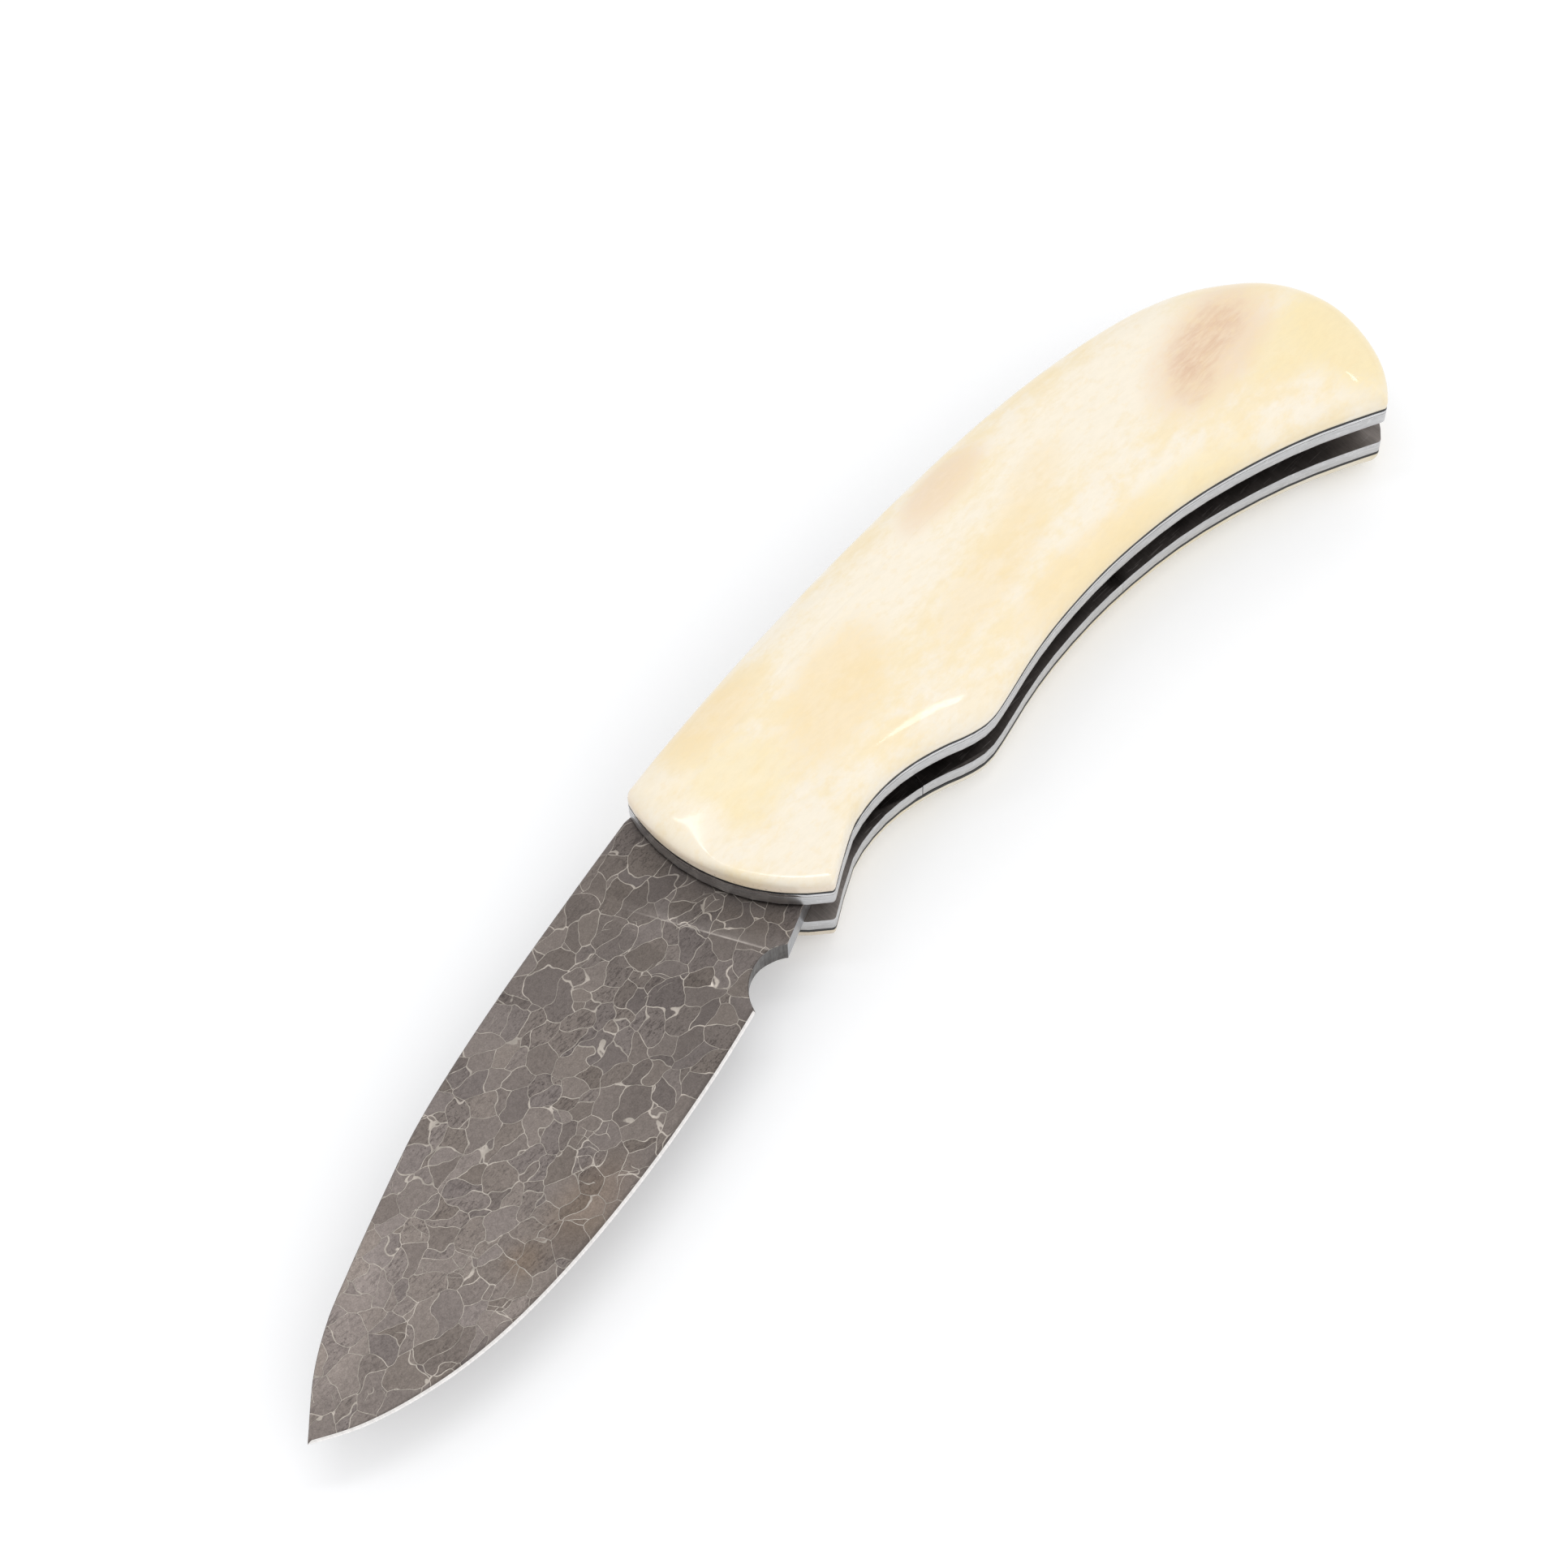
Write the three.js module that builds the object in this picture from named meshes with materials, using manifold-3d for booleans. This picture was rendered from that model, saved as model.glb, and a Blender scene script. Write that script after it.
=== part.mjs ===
// A folding pocket knife, lying open on its back scale.
// Millimetres. The origin is on the pivot axis, on the surface that the knife lies on.
// +X points to the blade tip, +Y to the cutting edge and the belly of the handle, +Z up to the show side.
import * as THREE from 'three';
import * as BufferGeometryUtils from 'three/addons/utils/BufferGeometryUtils.js';
import Module from 'manifold-3d';

const wasm = await Module();
wasm.setup();

// Thickness of each layer, from the show side down
const scaleThickness = 3.9;
const fibreThickness = 0.5;
const plateThickness = 0.5;
const showLinerThickness = 1.85;
const washerThickness = 0.3;
const bladeThickness = 3.7;
const lockLinerThickness = 2.0;

// Clearances: between a pin and its hole, in a running fit, and at a stop or a lock face
const holeClearance = 0.15;
const runningClearance = 0.08;
const stopClearance = 0.1;
const slotWidth = 0.3;

// Handle outline, seen from the show side. The corners are sharp here and rounded below.
const frontTop = [10.7, -12.1];
const frontBottom = [2.8, 12.8];
const buttBottom = [-87.6, 16];
const frontBulge = 4.2;
const bellyKnots = [
  [-3.5, 9.2],
  [-7.5, 8.05],
  [-11.5, 7.75],
  [-15.5, 8.2],
  [-19.2, 9.2],
  [-22, 10.2],
  [-24.8, 10.65],
  [-28, 10.1],
  [-33, 8.8],
  [-38.5, 7.7],
  [-45, 7.0],
  [-51, 6.8],
  [-58, 7.15],
  [-64.5, 8.05],
  [-71.5, 9.7],
  [-78, 11.75],
  [-83.8, 14.2],
];
const spineKnots = [
  [-89.9, 13.8],
  [-91.9, 10.6],
  [-93.3, 6.3],
  [-93.6, 2],
  [-92.6, -2],
  [-90.9, -5.1],
  [-88.1, -8.2],
  [-82.6, -12],
  [-75.6, -14.5],
  [-68, -15.9],
  [-60, -16.75],
  [-51, -17.1],
  [-42, -16.95],
  [-31, -16.5],
  [-20, -15.8],
  [-8, -14.7],
  [3, -13.35],
];
// Corner radii of the outline: front bottom, butt and front top
const outlineCornerRadii = [0.45, 0.45, 1.1];
const outlineEasing = 14;

// Blade outline with the blade open
const bladeTip = [85.7, 15.9];
const bladeHeel = [17.9, 15.1];
const bladeEdgeKnots = [
  [27.5, 17.6],
  [38.6, 19.9],
  [50, 21.5],
  [60, 22.1],
  [68, 21.7],
  [75, 20.4],
  [80.8, 18.5],
];
const bladeSpineKnots = [
  [80.3, 11.0],
  [75.2, 7.7],
  [70, 5.3],
  [62, 1.9],
  [54, -1.3],
  [45.7, -3.8],
  [35, -6.5],
  [23, -9.15],
];
const bladeSpineRoot = [11.7, -11.5];
const choilCentre = [13.1, 16.2];
const choilCorner = [10, 12.4];
const tangLowerEdge = [5.7, 10.5];

// Blade grind: a flat wedge from the spine down to a shoulder, then a narrow cutting bevel
const plungeAtSpine = 0.097;
const plungeAtEdge = [11.2, 12.9];
const edgeBevelWidth = 0.75;
const shoulderThickness = 0.7;
const edgeThickness = 0.12;
const grindMargin = 1.5;

// Pivot
const pivotBarrelRadius = 2.4;
const pivotThreadRadius = 1.25;
const pivotScrewLength = 3.2;
const pivotHeadRadius = 3.6;
const pivotHeadHeight = 0.9;

// Tang, stop pin and opening angle
const tangRadius = 8;
const washerMargin = 1.6;
const openingAngle = 170;
const stopPinRadius = 1.6;
const stopPinAngle = -108;
const stopShoulderReach = 3.6;
const kickShoulderReach = 2;
const stopPinTravelGap = 0.35;

// Lock bar: its nose stands behind the tang, and its root is in the liner
const lockFaceX = -6.6;
const lockLedge = 0.9;
const lockBarNoseWidth = 3.7;
const lockBarRootX = -52;
const lockBarRootEdge = -0.8;
const lockBarLift = 0.3;
const lockCutAtBelly = [-16.2, 8.4];
const lockCutTurn = [-16.9, 6.1];
const lockCutInner = [-15.6, 5.15];
const detentBallRadius = 0.8;
const detentBallHeight = 0.4;
const detentBallBack = 2.7;
const detentHoleRadius = 0.55;
const detentHoleDepth = 0.5;

// Back spacer, along the spine and round the butt
const spacerInset = 0.35;
const spacerWidthFront = 3;
const spacerWidthButt = 4.6;
const spacerFront = -38;
const spacerEndAboveBelly = 2.2;
const spacerEndMargin = 6;

// Countersunk screws, and the threaded inserts in the scales
const bodyScrewRadius = 0.75;
const bodyScrewHeadRadius = 1.35;
const bodyScrewThread = 1.9;
const bodyScrewStep = 21;
const bodyScrewCount = 3;
const scaleScrewRadius = 0.8;
const scaleScrewHeadRadius = 1.5;
const scaleInsertRadius = 1.7;
const scaleInsertLength = 2;
const scaleScrewEndGap = 0.3;
const pocketFloorGap = 0.25;
const socketDepth = 0.5;
const socketShare = 0.4;
const scaleScrewPlaces = [
  [-24, -8.6],
  [-66, -4.5],
];

// Rounded edge of a scale
const scaleWall = 0.8;
const scaleRounding = 3.6;
const scaleCrownRing = 5.6;
const scaleCrownDrop = 0.22;
const scaleRoundingSteps = 4;

const roundSides = 32;
const screwSides = 12;

// Heights of the layers
const backScaleTop = scaleThickness;
const lockLinerBottom = backScaleTop + fibreThickness;
const lockLinerTop = lockLinerBottom + lockLinerThickness;
const bladeBottom = lockLinerTop + washerThickness;
const bladeTop = bladeBottom + bladeThickness;
const bladeMiddle = (bladeBottom + bladeTop) / 2;
const showLinerBottom = bladeTop + washerThickness;
const showLinerTop = showLinerBottom + showLinerThickness;
const plateTop = showLinerTop + plateThickness;
const showScaleBottom = plateTop + fibreThickness;

const ivory = { color: 0xf3e3bd, roughness: 0.25, metalness: 0 };
const blackFibre = { color: 0x1d1b1a, roughness: 0.8, metalness: 0 };
const satinSteel = { color: 0xbfc1c4, roughness: 0.35, metalness: 1 };
const etchedSteel = { color: 0x7a736c, roughness: 0.45, metalness: 1 };
const hardSteel = { color: 0xd2d4d6, roughness: 0.2, metalness: 1 };
const bronze = { color: 0xb58a4a, roughness: 0.4, metalness: 1 };
const brass = { color: 0xc9a04e, roughness: 0.35, metalness: 1 };

const degrees = THREE.MathUtils.degToRad;
const vector = ([x, y]) => new THREE.Vector2(x, y);
const onCircle = (radius, angle) => new THREE.Vector2(
  radius * Math.cos(degrees(angle)),
  radius * Math.sin(degrees(angle)),
);

// Points of an arc about a centre, between two angles in degrees
function arcPoints(centre, radius, from, to, steps) {
  const points = [];
  for (let i = 0; i <= steps; i += 1) {
    points.push(onCircle(radius, from + ((to - from) * i) / steps).add(centre));
  }
  return points;
}

// Points of an arc from one point to another that bulges to the right of the way between them
function bulgedArc(start, end, bulge, steps) {
  const chord = end.clone().sub(start);
  const half = chord.length() / 2;
  const radius = (half * half + bulge * bulge) / (2 * bulge);
  const along = chord.normalize();
  const right = new THREE.Vector2(along.y, -along.x);
  const middle = start.clone().add(end).multiplyScalar(0.5);
  const centre = middle.addScaledVector(right, bulge - radius);
  const sweep = Math.asin(half / radius);
  const points = [];
  for (let i = 0; i <= steps; i += 1) {
    const angle = sweep * ((2 * i) / steps - 1);
    const point = centre.clone().addScaledVector(right, radius * Math.cos(angle));
    points.push(point.addScaledVector(along, radius * Math.sin(angle)));
  }
  return points;
}

// A smooth run of points through knots
function smoothRun(knots, steps) {
  return new THREE.SplineCurve(knots.map(vector)).getPoints(steps);
}

// Shortens the end of a run by a length, measured along it
function trimmedEnd(run, length) {
  const points = run.slice();
  let left = length;
  while (points.length > 2) {
    const last = points[points.length - 1];
    const before = points[points.length - 2];
    const step = last.distanceTo(before);
    if (step > left) {
      points[points.length - 1] = last.clone().lerp(before, left / step);
      break;
    }
    left -= step;
    points.pop();
  }
  return points;
}

const trimmedStart = (run, length) => trimmedEnd(run.slice().reverse(), length).reverse();

// Joins runs that meet at sharp corners into one closed outline, with a radius for each run's end corner
function roundedOutline(runs, radii) {
  const cut = runs.map((run, i) => {
    const startRadius = radii[(i + radii.length - 1) % radii.length];
    return trimmedStart(trimmedEnd(run, radii[i]), startRadius);
  });
  const points = [];
  cut.forEach((run, i) => {
    const next = cut[(i + 1) % cut.length];
    const corner = runs[i][runs[i].length - 1];
    const curve = new THREE.QuadraticBezierCurve(run[run.length - 1], corner, next[0]);
    points.push(...run, ...curve.getPoints(4).slice(1, -1));
  });
  return points;
}

// The handle outline runs round with the handle on its left: front, belly, butt and spine
const handleRuns = [
  bulgedArc(vector(frontTop), vector(frontBottom), frontBulge, 9),
  smoothRun([frontBottom, ...bellyKnots, buttBottom], 32),
  smoothRun([buttBottom, ...spineKnots, frontTop], 28),
];
const handleOutline = roundedOutline(handleRuns, outlineCornerRadii);

// Unit vectors that point into the outline, eased over a length so that neighbours don't cross when inset
function inwardDirections(points, easing) {
  const around = (i) => points[(i + points.length) % points.length];
  const ways = points.map((point, i) => around(i + 1).clone().sub(around(i - 1)));
  const along = [0];
  points.forEach((point, i) => along.push(along[i] + point.distanceTo(around(i + 1))));
  const total = along.pop();
  return points.map((point, i) => {
    const sum = new THREE.Vector2();
    ways.forEach((way, k) => {
      const apart = Math.abs(along[i] - along[k]);
      const weight = Math.max(0, easing - Math.min(apart, total - apart));
      sum.add(new THREE.Vector2(-way.y, way.x).multiplyScalar(weight));
    });
    return sum.normalize();
  });
}

const handleInward = inwardDirections(handleOutline, outlineEasing);
const insetPoint = (i, depth) => handleOutline[i].clone().addScaledVector(handleInward[i], depth);
const insetOutline = (depth) => handleOutline.map((point, i) => insetPoint(i, depth));

// Place on the spine side of the handle outline nearest to an X, a depth inside it
function inSpine(x, depth) {
  const spineSide = handleOutline.map((point, i) => i).filter((i) => handleOutline[i].y < 0);
  const nearest = spineSide.reduce((best, i) => {
    const closer = Math.abs(handleOutline[i].x - x) < Math.abs(handleOutline[best].x - x);
    return closer ? i : best;
  });
  return insetPoint(nearest, depth);
}

// A flat layer with an outline, between two heights
function slab(points, bottom, top) {
  const geometry = new THREE.ExtrudeGeometry(new THREE.Shape(points), {
    depth: top - bottom,
    bevelEnabled: false,
  });
  return geometry.translate(0, 0, bottom);
}

// A closed solid of revolution about an upright axis. The profile is [radius, height] from axis to axis.
function turned(profile, x, y, sides) {
  const geometry = new THREE.LatheGeometry(profile.map(vector), sides);
  return geometry.rotateX(Math.PI / 2).translate(x, y, 0);
}

function rod(radius, bottom, top, x, y, sides = screwSides) {
  return turned([[0, bottom], [radius, bottom], [radius, top], [0, top]], x, y, sides);
}

function toSolid(geometry) {
  const bare = geometry.clone();
  bare.deleteAttribute('normal');
  bare.deleteAttribute('uv');
  const merged = BufferGeometryUtils.mergeVertices(bare, 1e-4);
  return new wasm.Manifold(new wasm.Mesh({
    numProp: 3,
    vertProperties: new Float32Array(merged.attributes.position.array),
    triVerts: new Uint32Array(merged.index.array),
  }));
}

function toGeometry(solid) {
  const mesh = solid.getMesh();
  const geometry = new THREE.BufferGeometry();
  geometry.setAttribute('position', new THREE.BufferAttribute(mesh.vertProperties, 3));
  geometry.setIndex(new THREE.BufferAttribute(mesh.triVerts, 1));
  geometry.computeVertexNormals();
  return geometry;
}

function cut(body, cutters) {
  return toGeometry(cutters.reduce((solid, cutter) => solid.subtract(toSolid(cutter)), toSolid(body)));
}

// Places of the fasteners
const spacerWidthAt = (x) => (
  THREE.MathUtils.mapLinear(x, spacerFront, buttBottom[0], spacerWidthFront, spacerWidthButt)
);
const bodyScrewPlaces = Array.from({ length: bodyScrewCount }, (_, i) => {
  const x = spacerFront - spacerEndMargin - i * bodyScrewStep;
  return inSpine(x, spacerInset + spacerWidthAt(x) / 2);
});
const scaleScrews = scaleScrewPlaces.map(vector);
const stopPinPlace = onCircle(tangRadius + stopPinTravelGap + stopPinRadius, stopPinAngle);
const centre = new THREE.Vector2();
const barNoseX = lockFaceX - stopClearance;
const barNoseTop = lockLedge + stopClearance * 2;
const detentBall = new THREE.Vector2(barNoseX - detentBallBack, barNoseTop + lockBarNoseWidth / 2);

// Layers cut from the handle outline, with round holes
function layer(bottom, top, holes) {
  const cutters = holes.map(([place, radius]) => rod(radius, bottom - 1, top + 1, place.x, place.y));
  return cut(slab(handleOutline, bottom, top), cutters);
}

// A countersunk screw or its hole. It goes in at the height of a face and runs up (way 1) or down (way -1).
function countersunk(headRadius, shankRadius, face, way, length, place, growth = 0) {
  const profile = [
    [0, face],
    [headRadius + growth, face],
    [shankRadius + growth, face + way * (headRadius - shankRadius)],
    [shankRadius + growth, face + way * length],
    [0, face + way * length],
  ];
  return turned(way > 0 ? profile : profile.reverse(), place.x, place.y, screwSides);
}

function hexSocket(headRadius, face, way, place) {
  const heights = [face - way, face + way * socketDepth].sort((a, b) => a - b);
  return rod(headRadius * socketShare, ...heights, place.x, place.y, 6);
}


function tube(innerRadius, outerRadius, bottom, top, place, sides = screwSides) {
  const profile = [
    [innerRadius, bottom],
    [outerRadius, bottom],
    [outerRadius, top],
    [innerRadius, top],
    [innerRadius, bottom],
  ];
  return turned(profile, place.x, place.y, sides);
}

// Skin over closed rings of equal point count. The flat points give the shape of the two end caps.
function loft(rings, firstFlat, lastFlat) {
  const sides = rings[0].length;
  const index = [];
  for (let i = 0; i + 1 < rings.length; i += 1) {
    for (let k = 0; k < sides; k += 1) {
      const a = i * sides + k;
      const b = i * sides + ((k + 1) % sides);
      index.push(a, b, b + sides, a, b + sides, a + sides);
    }
  }
  const cap = (start, flat, facing) => {
    for (const [a, b, c] of THREE.ShapeUtils.triangulateShape(flat, [])) {
      const turn = flat[b].clone().sub(flat[a]).cross(flat[c].clone().sub(flat[a]));
      index.push(start + a, ...(turn * facing > 0 ? [start + b, start + c] : [start + c, start + b]));
    }
  };
  cap(0, firstFlat, -1);
  cap((rings.length - 1) * sides, lastFlat, 1);
  const geometry = new THREE.BufferGeometry();
  geometry.setAttribute('position', new THREE.Float32BufferAttribute(rings.flat(2), 3));
  geometry.setIndex(index);
  return geometry;
}

function mirroredInHeight(geometry) {
  const mirrored = geometry.clone().scale(1, 1, -1);
  mirrored.setIndex(Array.from(mirrored.index.array).reverse());
  return mirrored;
}

// Tang of the blade: stop shoulders, a round back and the ledge and face that the lock bar stands behind
function tangPoints() {
  const outward = onCircle(1, stopPinAngle);
  const forward = onCircle(1, stopPinAngle + 90);
  const offset = stopPinRadius + stopClearance;
  const shoulder = (reach, side) => (
    outward.clone().multiplyScalar(reach).addScaledVector(forward, side * offset)
  );
  const whenOpen = (point) => point.rotateAround(centre, degrees(-openingAngle));
  const angleOf = (point) => THREE.MathUtils.radToDeg(point.angle());
  const foot = Math.sqrt(tangRadius ** 2 - offset ** 2);
  const openFoot = shoulder(foot, 1);
  const closedFoot = whenOpen(shoulder(foot, -1));
  const ledgeEnd = new THREE.Vector2(-Math.sqrt(tangRadius ** 2 - lockLedge ** 2), lockLedge);
  const faceEnd = new THREE.Vector2(lockFaceX, Math.sqrt(tangRadius ** 2 - lockFaceX ** 2));
  return [
    shoulder(foot + stopShoulderReach, 1),
    ...arcPoints(centre, tangRadius, angleOf(openFoot), angleOf(ledgeEnd), 12),
    new THREE.Vector2(lockFaceX, lockLedge),
    ...arcPoints(centre, tangRadius, angleOf(faceEnd), angleOf(closedFoot), 9),
    whenOpen(shoulder(foot + kickShoulderReach, -1)),
    vector(tangLowerEdge),
  ];
}

function choilPoints() {
  const middle = vector(choilCentre);
  const angleTo = ([x, y]) => THREE.MathUtils.radToDeg(Math.atan2(y - middle.y, x - middle.x));
  const reach = vector(choilCorner).distanceTo(middle);
  return arcPoints(middle, reach, angleTo(choilCorner), angleTo(bladeHeel), 12).slice(0, -1);
}

const bladeEdge = smoothRun([bladeHeel, ...bladeEdgeKnots, bladeTip], 26);
const bladeSpine = smoothRun([bladeTip, ...bladeSpineKnots, bladeSpineRoot], 28);

// Space beside the ground face, from the plunge line to past the tip. Height 0 is the blade's middle plane.
function grindCutter() {
  const lows = [vector(plungeAtEdge), ...bladeEdge];
  const spineCurve = new THREE.SplineCurve([bladeTip, ...bladeSpineKnots, bladeSpineRoot].map(vector));
  const fromTip = (i) => (1 - plungeAtSpine) * (1 - i / (lows.length - 1));
  const highs = lows.map((low, i) => spineCurve.getPoint(fromTip(i)));
  const widths = lows.map((low, i) => low.distanceTo(highs[i]));
  const shoulder = shoulderThickness / 2;
  const slope = (bladeThickness / 2 - shoulder) / (Math.max(...widths) - edgeBevelWidth);
  const tipWay = lows[lows.length - 1].clone().sub(highs[highs.length - 4]).normalize();
  const stations = lows.map((low, i) => {
    const across = low.clone().sub(highs[i]).normalize();
    return { low, width: widths[i], across };
  });
  const last = stations.pop();
  const { across } = stations[stations.length - 1];
  stations.push({ ...last, across });
  stations.push({ ...last, across, low: last.low.clone().addScaledVector(tipWay, grindMargin) });
  const profiles = stations.map(({ width }) => [
    [-width - grindMargin, shoulder + slope * (width + grindMargin - edgeBevelWidth)],
    [-edgeBevelWidth, shoulder],
    [0, edgeThickness / 2],
    [grindMargin, edgeThickness / 2],
    [grindMargin, bladeThickness],
    [-width - grindMargin, bladeThickness],
  ]);
  const rings = stations.map((station, i) => profiles[i].map(([distance, height]) => {
    const place = station.low.clone().addScaledVector(station.across, distance);
    return [place.x, place.y, height];
  }));
  return loft(rings, profiles[0].map(vector), profiles[profiles.length - 1].map(vector));
}

function makeBlade() {
  const outline = [...tangPoints(), ...choilPoints(), ...bladeEdge, ...bladeSpine.slice(1)];
  const cutter = grindCutter();
  const ball = detentBall.clone().rotateAround(centre, degrees(-openingAngle));
  const detentTop = bladeBottom + detentHoleDepth;
  return cut(slab(outline, bladeBottom, bladeTop), [
    cutter.clone().translate(0, 0, bladeMiddle),
    mirroredInHeight(cutter).translate(0, 0, bladeMiddle),
    rod(pivotBarrelRadius + runningClearance, bladeBottom - 1, bladeTop + 1, 0, 0, roundSides),
    rod(detentHoleRadius, bladeBottom - 1, detentTop, ball.x, ball.y),
  ]);
}

// A scale with rounded edges and a flat crown. Its flat bottom is at height 0.
function scaleBody() {
  const rounding = (turn) => ({
    depth: scaleRounding * (1 - Math.cos(turn)),
    height: scaleWall + (scaleThickness - scaleCrownDrop - scaleWall) * Math.sin(turn),
  });
  const levels = [{ depth: 0, height: 0 }];
  for (let i = 0; i <= scaleRoundingSteps; i += 1) {
    levels.push(rounding(((i / scaleRoundingSteps) * Math.PI) / 2));
  }
  levels.push({ depth: scaleCrownRing, height: scaleThickness });
  const outlines = levels.map(({ depth }) => insetOutline(depth));
  const rings = outlines.map((points, i) => points.map(({ x, y }) => [x, y, levels[i].height]));
  return loft(rings, outlines[0], outlines[outlines.length - 1]);
}

const insertPocket = (place, face, way) => {
  const depths = [face - way, face + way * (scaleInsertLength + pocketFloorGap)].sort((a, b) => a - b);
  return rod(scaleInsertRadius + holeClearance, ...depths, place.x, place.y);
};

function makeShowScale() {
  const body = scaleBody().translate(0, 0, showScaleBottom);
  return cut(body, scaleScrews.map((place) => insertPocket(place, showScaleBottom, 1)));
}

function makeBackScale() {
  const body = mirroredInHeight(scaleBody()).translate(0, 0, backScaleTop);
  const headRoom = lockLinerBottom - pivotHeadHeight - pocketFloorGap;
  return cut(body, [
    ...scaleScrews.map((place) => insertPocket(place, backScaleTop, -1)),
    rod(pivotHeadRadius + holeClearance, headRoom, backScaleTop + 1, 0, 0, roundSides),
  ]);
}

const layerHoles = [
  [centre, pivotHeadRadius + holeClearance],
  ...scaleScrews.map((place) => [place, scaleScrewRadius + holeClearance]),
];

// Holes that both liners have. The outer face is the one that the scale covers.
function linerCutters(innerFace, outerFace) {
  const inward = Math.sign(innerFace - outerFace);
  const length = Math.abs(innerFace - outerFace) + 1;
  const heights = [innerFace + inward, outerFace - inward].sort((a, b) => a - b);
  return [
    rod(pivotBarrelRadius + runningClearance, ...heights, 0, 0, roundSides),
    rod(stopPinRadius + holeClearance, ...heights, stopPinPlace.x, stopPinPlace.y),
    ...bodyScrewPlaces.map((place) => countersunk(
      bodyScrewHeadRadius, bodyScrewRadius, outerFace, inward, length, place, holeClearance,
    )),
    ...scaleScrews.map((place) => countersunk(
      scaleScrewHeadRadius, scaleScrewRadius, innerFace, -inward, length, place, holeClearance,
    )),
  ];
}

// Plan of the lock bar, running past the belly edge. It can be grown to give the slot round it.
function lockBarPlan(growth) {
  const past = lockCutAtBelly[1] + lockBarNoseWidth;
  return [
    [barNoseX + growth, barNoseTop - growth],
    [barNoseX + growth, barNoseTop + lockBarNoseWidth + growth],
    [lockCutInner[0] + growth, lockCutInner[1] + growth],
    [lockCutTurn[0] + growth, lockCutTurn[1] + growth / 2],
    [lockCutAtBelly[0] + growth, lockCutAtBelly[1]],
    [lockCutAtBelly[0] + growth, past],
    [lockBarRootX - growth, past],
    [lockBarRootX - growth, lockBarRootEdge - growth],
  ].map(vector);
}

function makeLockLiner() {
  const slot = slab(lockBarPlan(slotWidth), lockLinerBottom - 1, lockLinerTop + 1);
  const cutters = linerCutters(lockLinerTop, lockLinerBottom);
  return cut(slab(handleOutline, lockLinerBottom, lockLinerTop), [slot, ...cutters]);
}

// The bar is drawn flush with the liner, about its root, and is turned to its sprung place by its group
function makeLockBar() {
  const ballBore = detentBallRadius + holeClearance;
  const plan = toSolid(slab(lockBarPlan(0), lockLinerBottom - 1, lockLinerTop + 1));
  const bar = toGeometry(toSolid(slab(handleOutline, lockLinerBottom, lockLinerTop)).intersect(plan));
  return cut(bar, [rod(ballBore, lockLinerBottom - 1, lockLinerTop + 1, detentBall.x, detentBall.y)]);
}

function makeBackSpacer() {
  const buttCorner = vector(buttBottom);
  const distances = handleOutline.map((point) => point.distanceTo(buttCorner));
  const first = distances.indexOf(Math.min(...distances));
  const places = handleOutline
    .map((point, i) => i)
    .filter((i) => i > first && handleOutline[i].x < spacerFront)
    .filter((i) => handleOutline[i].y < buttBottom[1] - spacerEndAboveBelly);
  const outer = places.map((i) => insetPoint(i, spacerInset));
  const inner = places.map((i) => insetPoint(i, spacerInset + spacerWidthAt(handleOutline[i].x)));
  const holes = bodyScrewPlaces.map(({ x, y }) => (
    rod(bodyScrewRadius + holeClearance, lockLinerTop - 1, showLinerBottom + 1, x, y)
  ));
  return cut(slab([...outer, ...inner.reverse()], lockLinerTop, showLinerBottom), holes);
}

function makePivotScrew(face, way) {
  const headEnd = face - way * pivotHeadHeight;
  const profile = [
    [0, headEnd],
    [pivotHeadRadius, headEnd],
    [pivotHeadRadius, face],
    [pivotThreadRadius - holeClearance, face],
    [pivotThreadRadius - holeClearance, face + way * pivotScrewLength],
    [0, face + way * pivotScrewLength],
  ];
  const screw = turned(way > 0 ? profile : profile.reverse(), 0, 0, roundSides);
  return cut(screw, [hexSocket(pivotHeadRadius, headEnd, way, centre)]);
}

const group = new THREE.Group();

function addPiece(name, geometry, finish, parent = group) {
  const mesh = new THREE.Mesh(geometry, new THREE.MeshStandardMaterial(finish));
  mesh.name = name;
  parent.add(mesh);
}

function addScrews(name, places, headRadius, shankRadius, face, way, length) {
  places.forEach((place, i) => {
    const screw = countersunk(headRadius, shankRadius, face, way, length, place);
    addPiece(`${name}_${i + 1}`, cut(screw, [hexSocket(headRadius, face, way, place)]), hardSteel);
  });
}

function addInserts(name, bottom, top) {
  scaleScrews.forEach((place, i) => {
    const insert = tube(scaleScrewRadius + holeClearance, scaleInsertRadius, bottom, top, place);
    addPiece(`${name}_${i + 1}`, insert, brass);
  });
}

// Blade and pivot
const washerBore = pivotBarrelRadius + runningClearance;
const washerRadius = tangRadius - washerMargin;
addPiece('blade', makeBlade(), etchedSteel);
const washer = (bottom, top) => tube(washerBore, washerRadius, bottom, top, centre, roundSides);
addPiece('show_washer', washer(bladeTop, showLinerBottom), bronze);
addPiece('back_washer', washer(lockLinerTop, bladeBottom), bronze);
addPiece(
  'pivot_barrel',
  tube(pivotThreadRadius, pivotBarrelRadius, lockLinerBottom, showLinerTop, centre, roundSides),
  hardSteel,
);
addPiece('show_pivot_screw', makePivotScrew(showLinerTop, -1), hardSteel);
addPiece('back_pivot_screw', makePivotScrew(lockLinerBottom, 1), hardSteel);
addPiece(
  'stop_pin',
  rod(stopPinRadius, lockLinerBottom, showLinerTop, stopPinPlace.x, stopPinPlace.y, roundSides),
  hardSteel,
);

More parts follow.
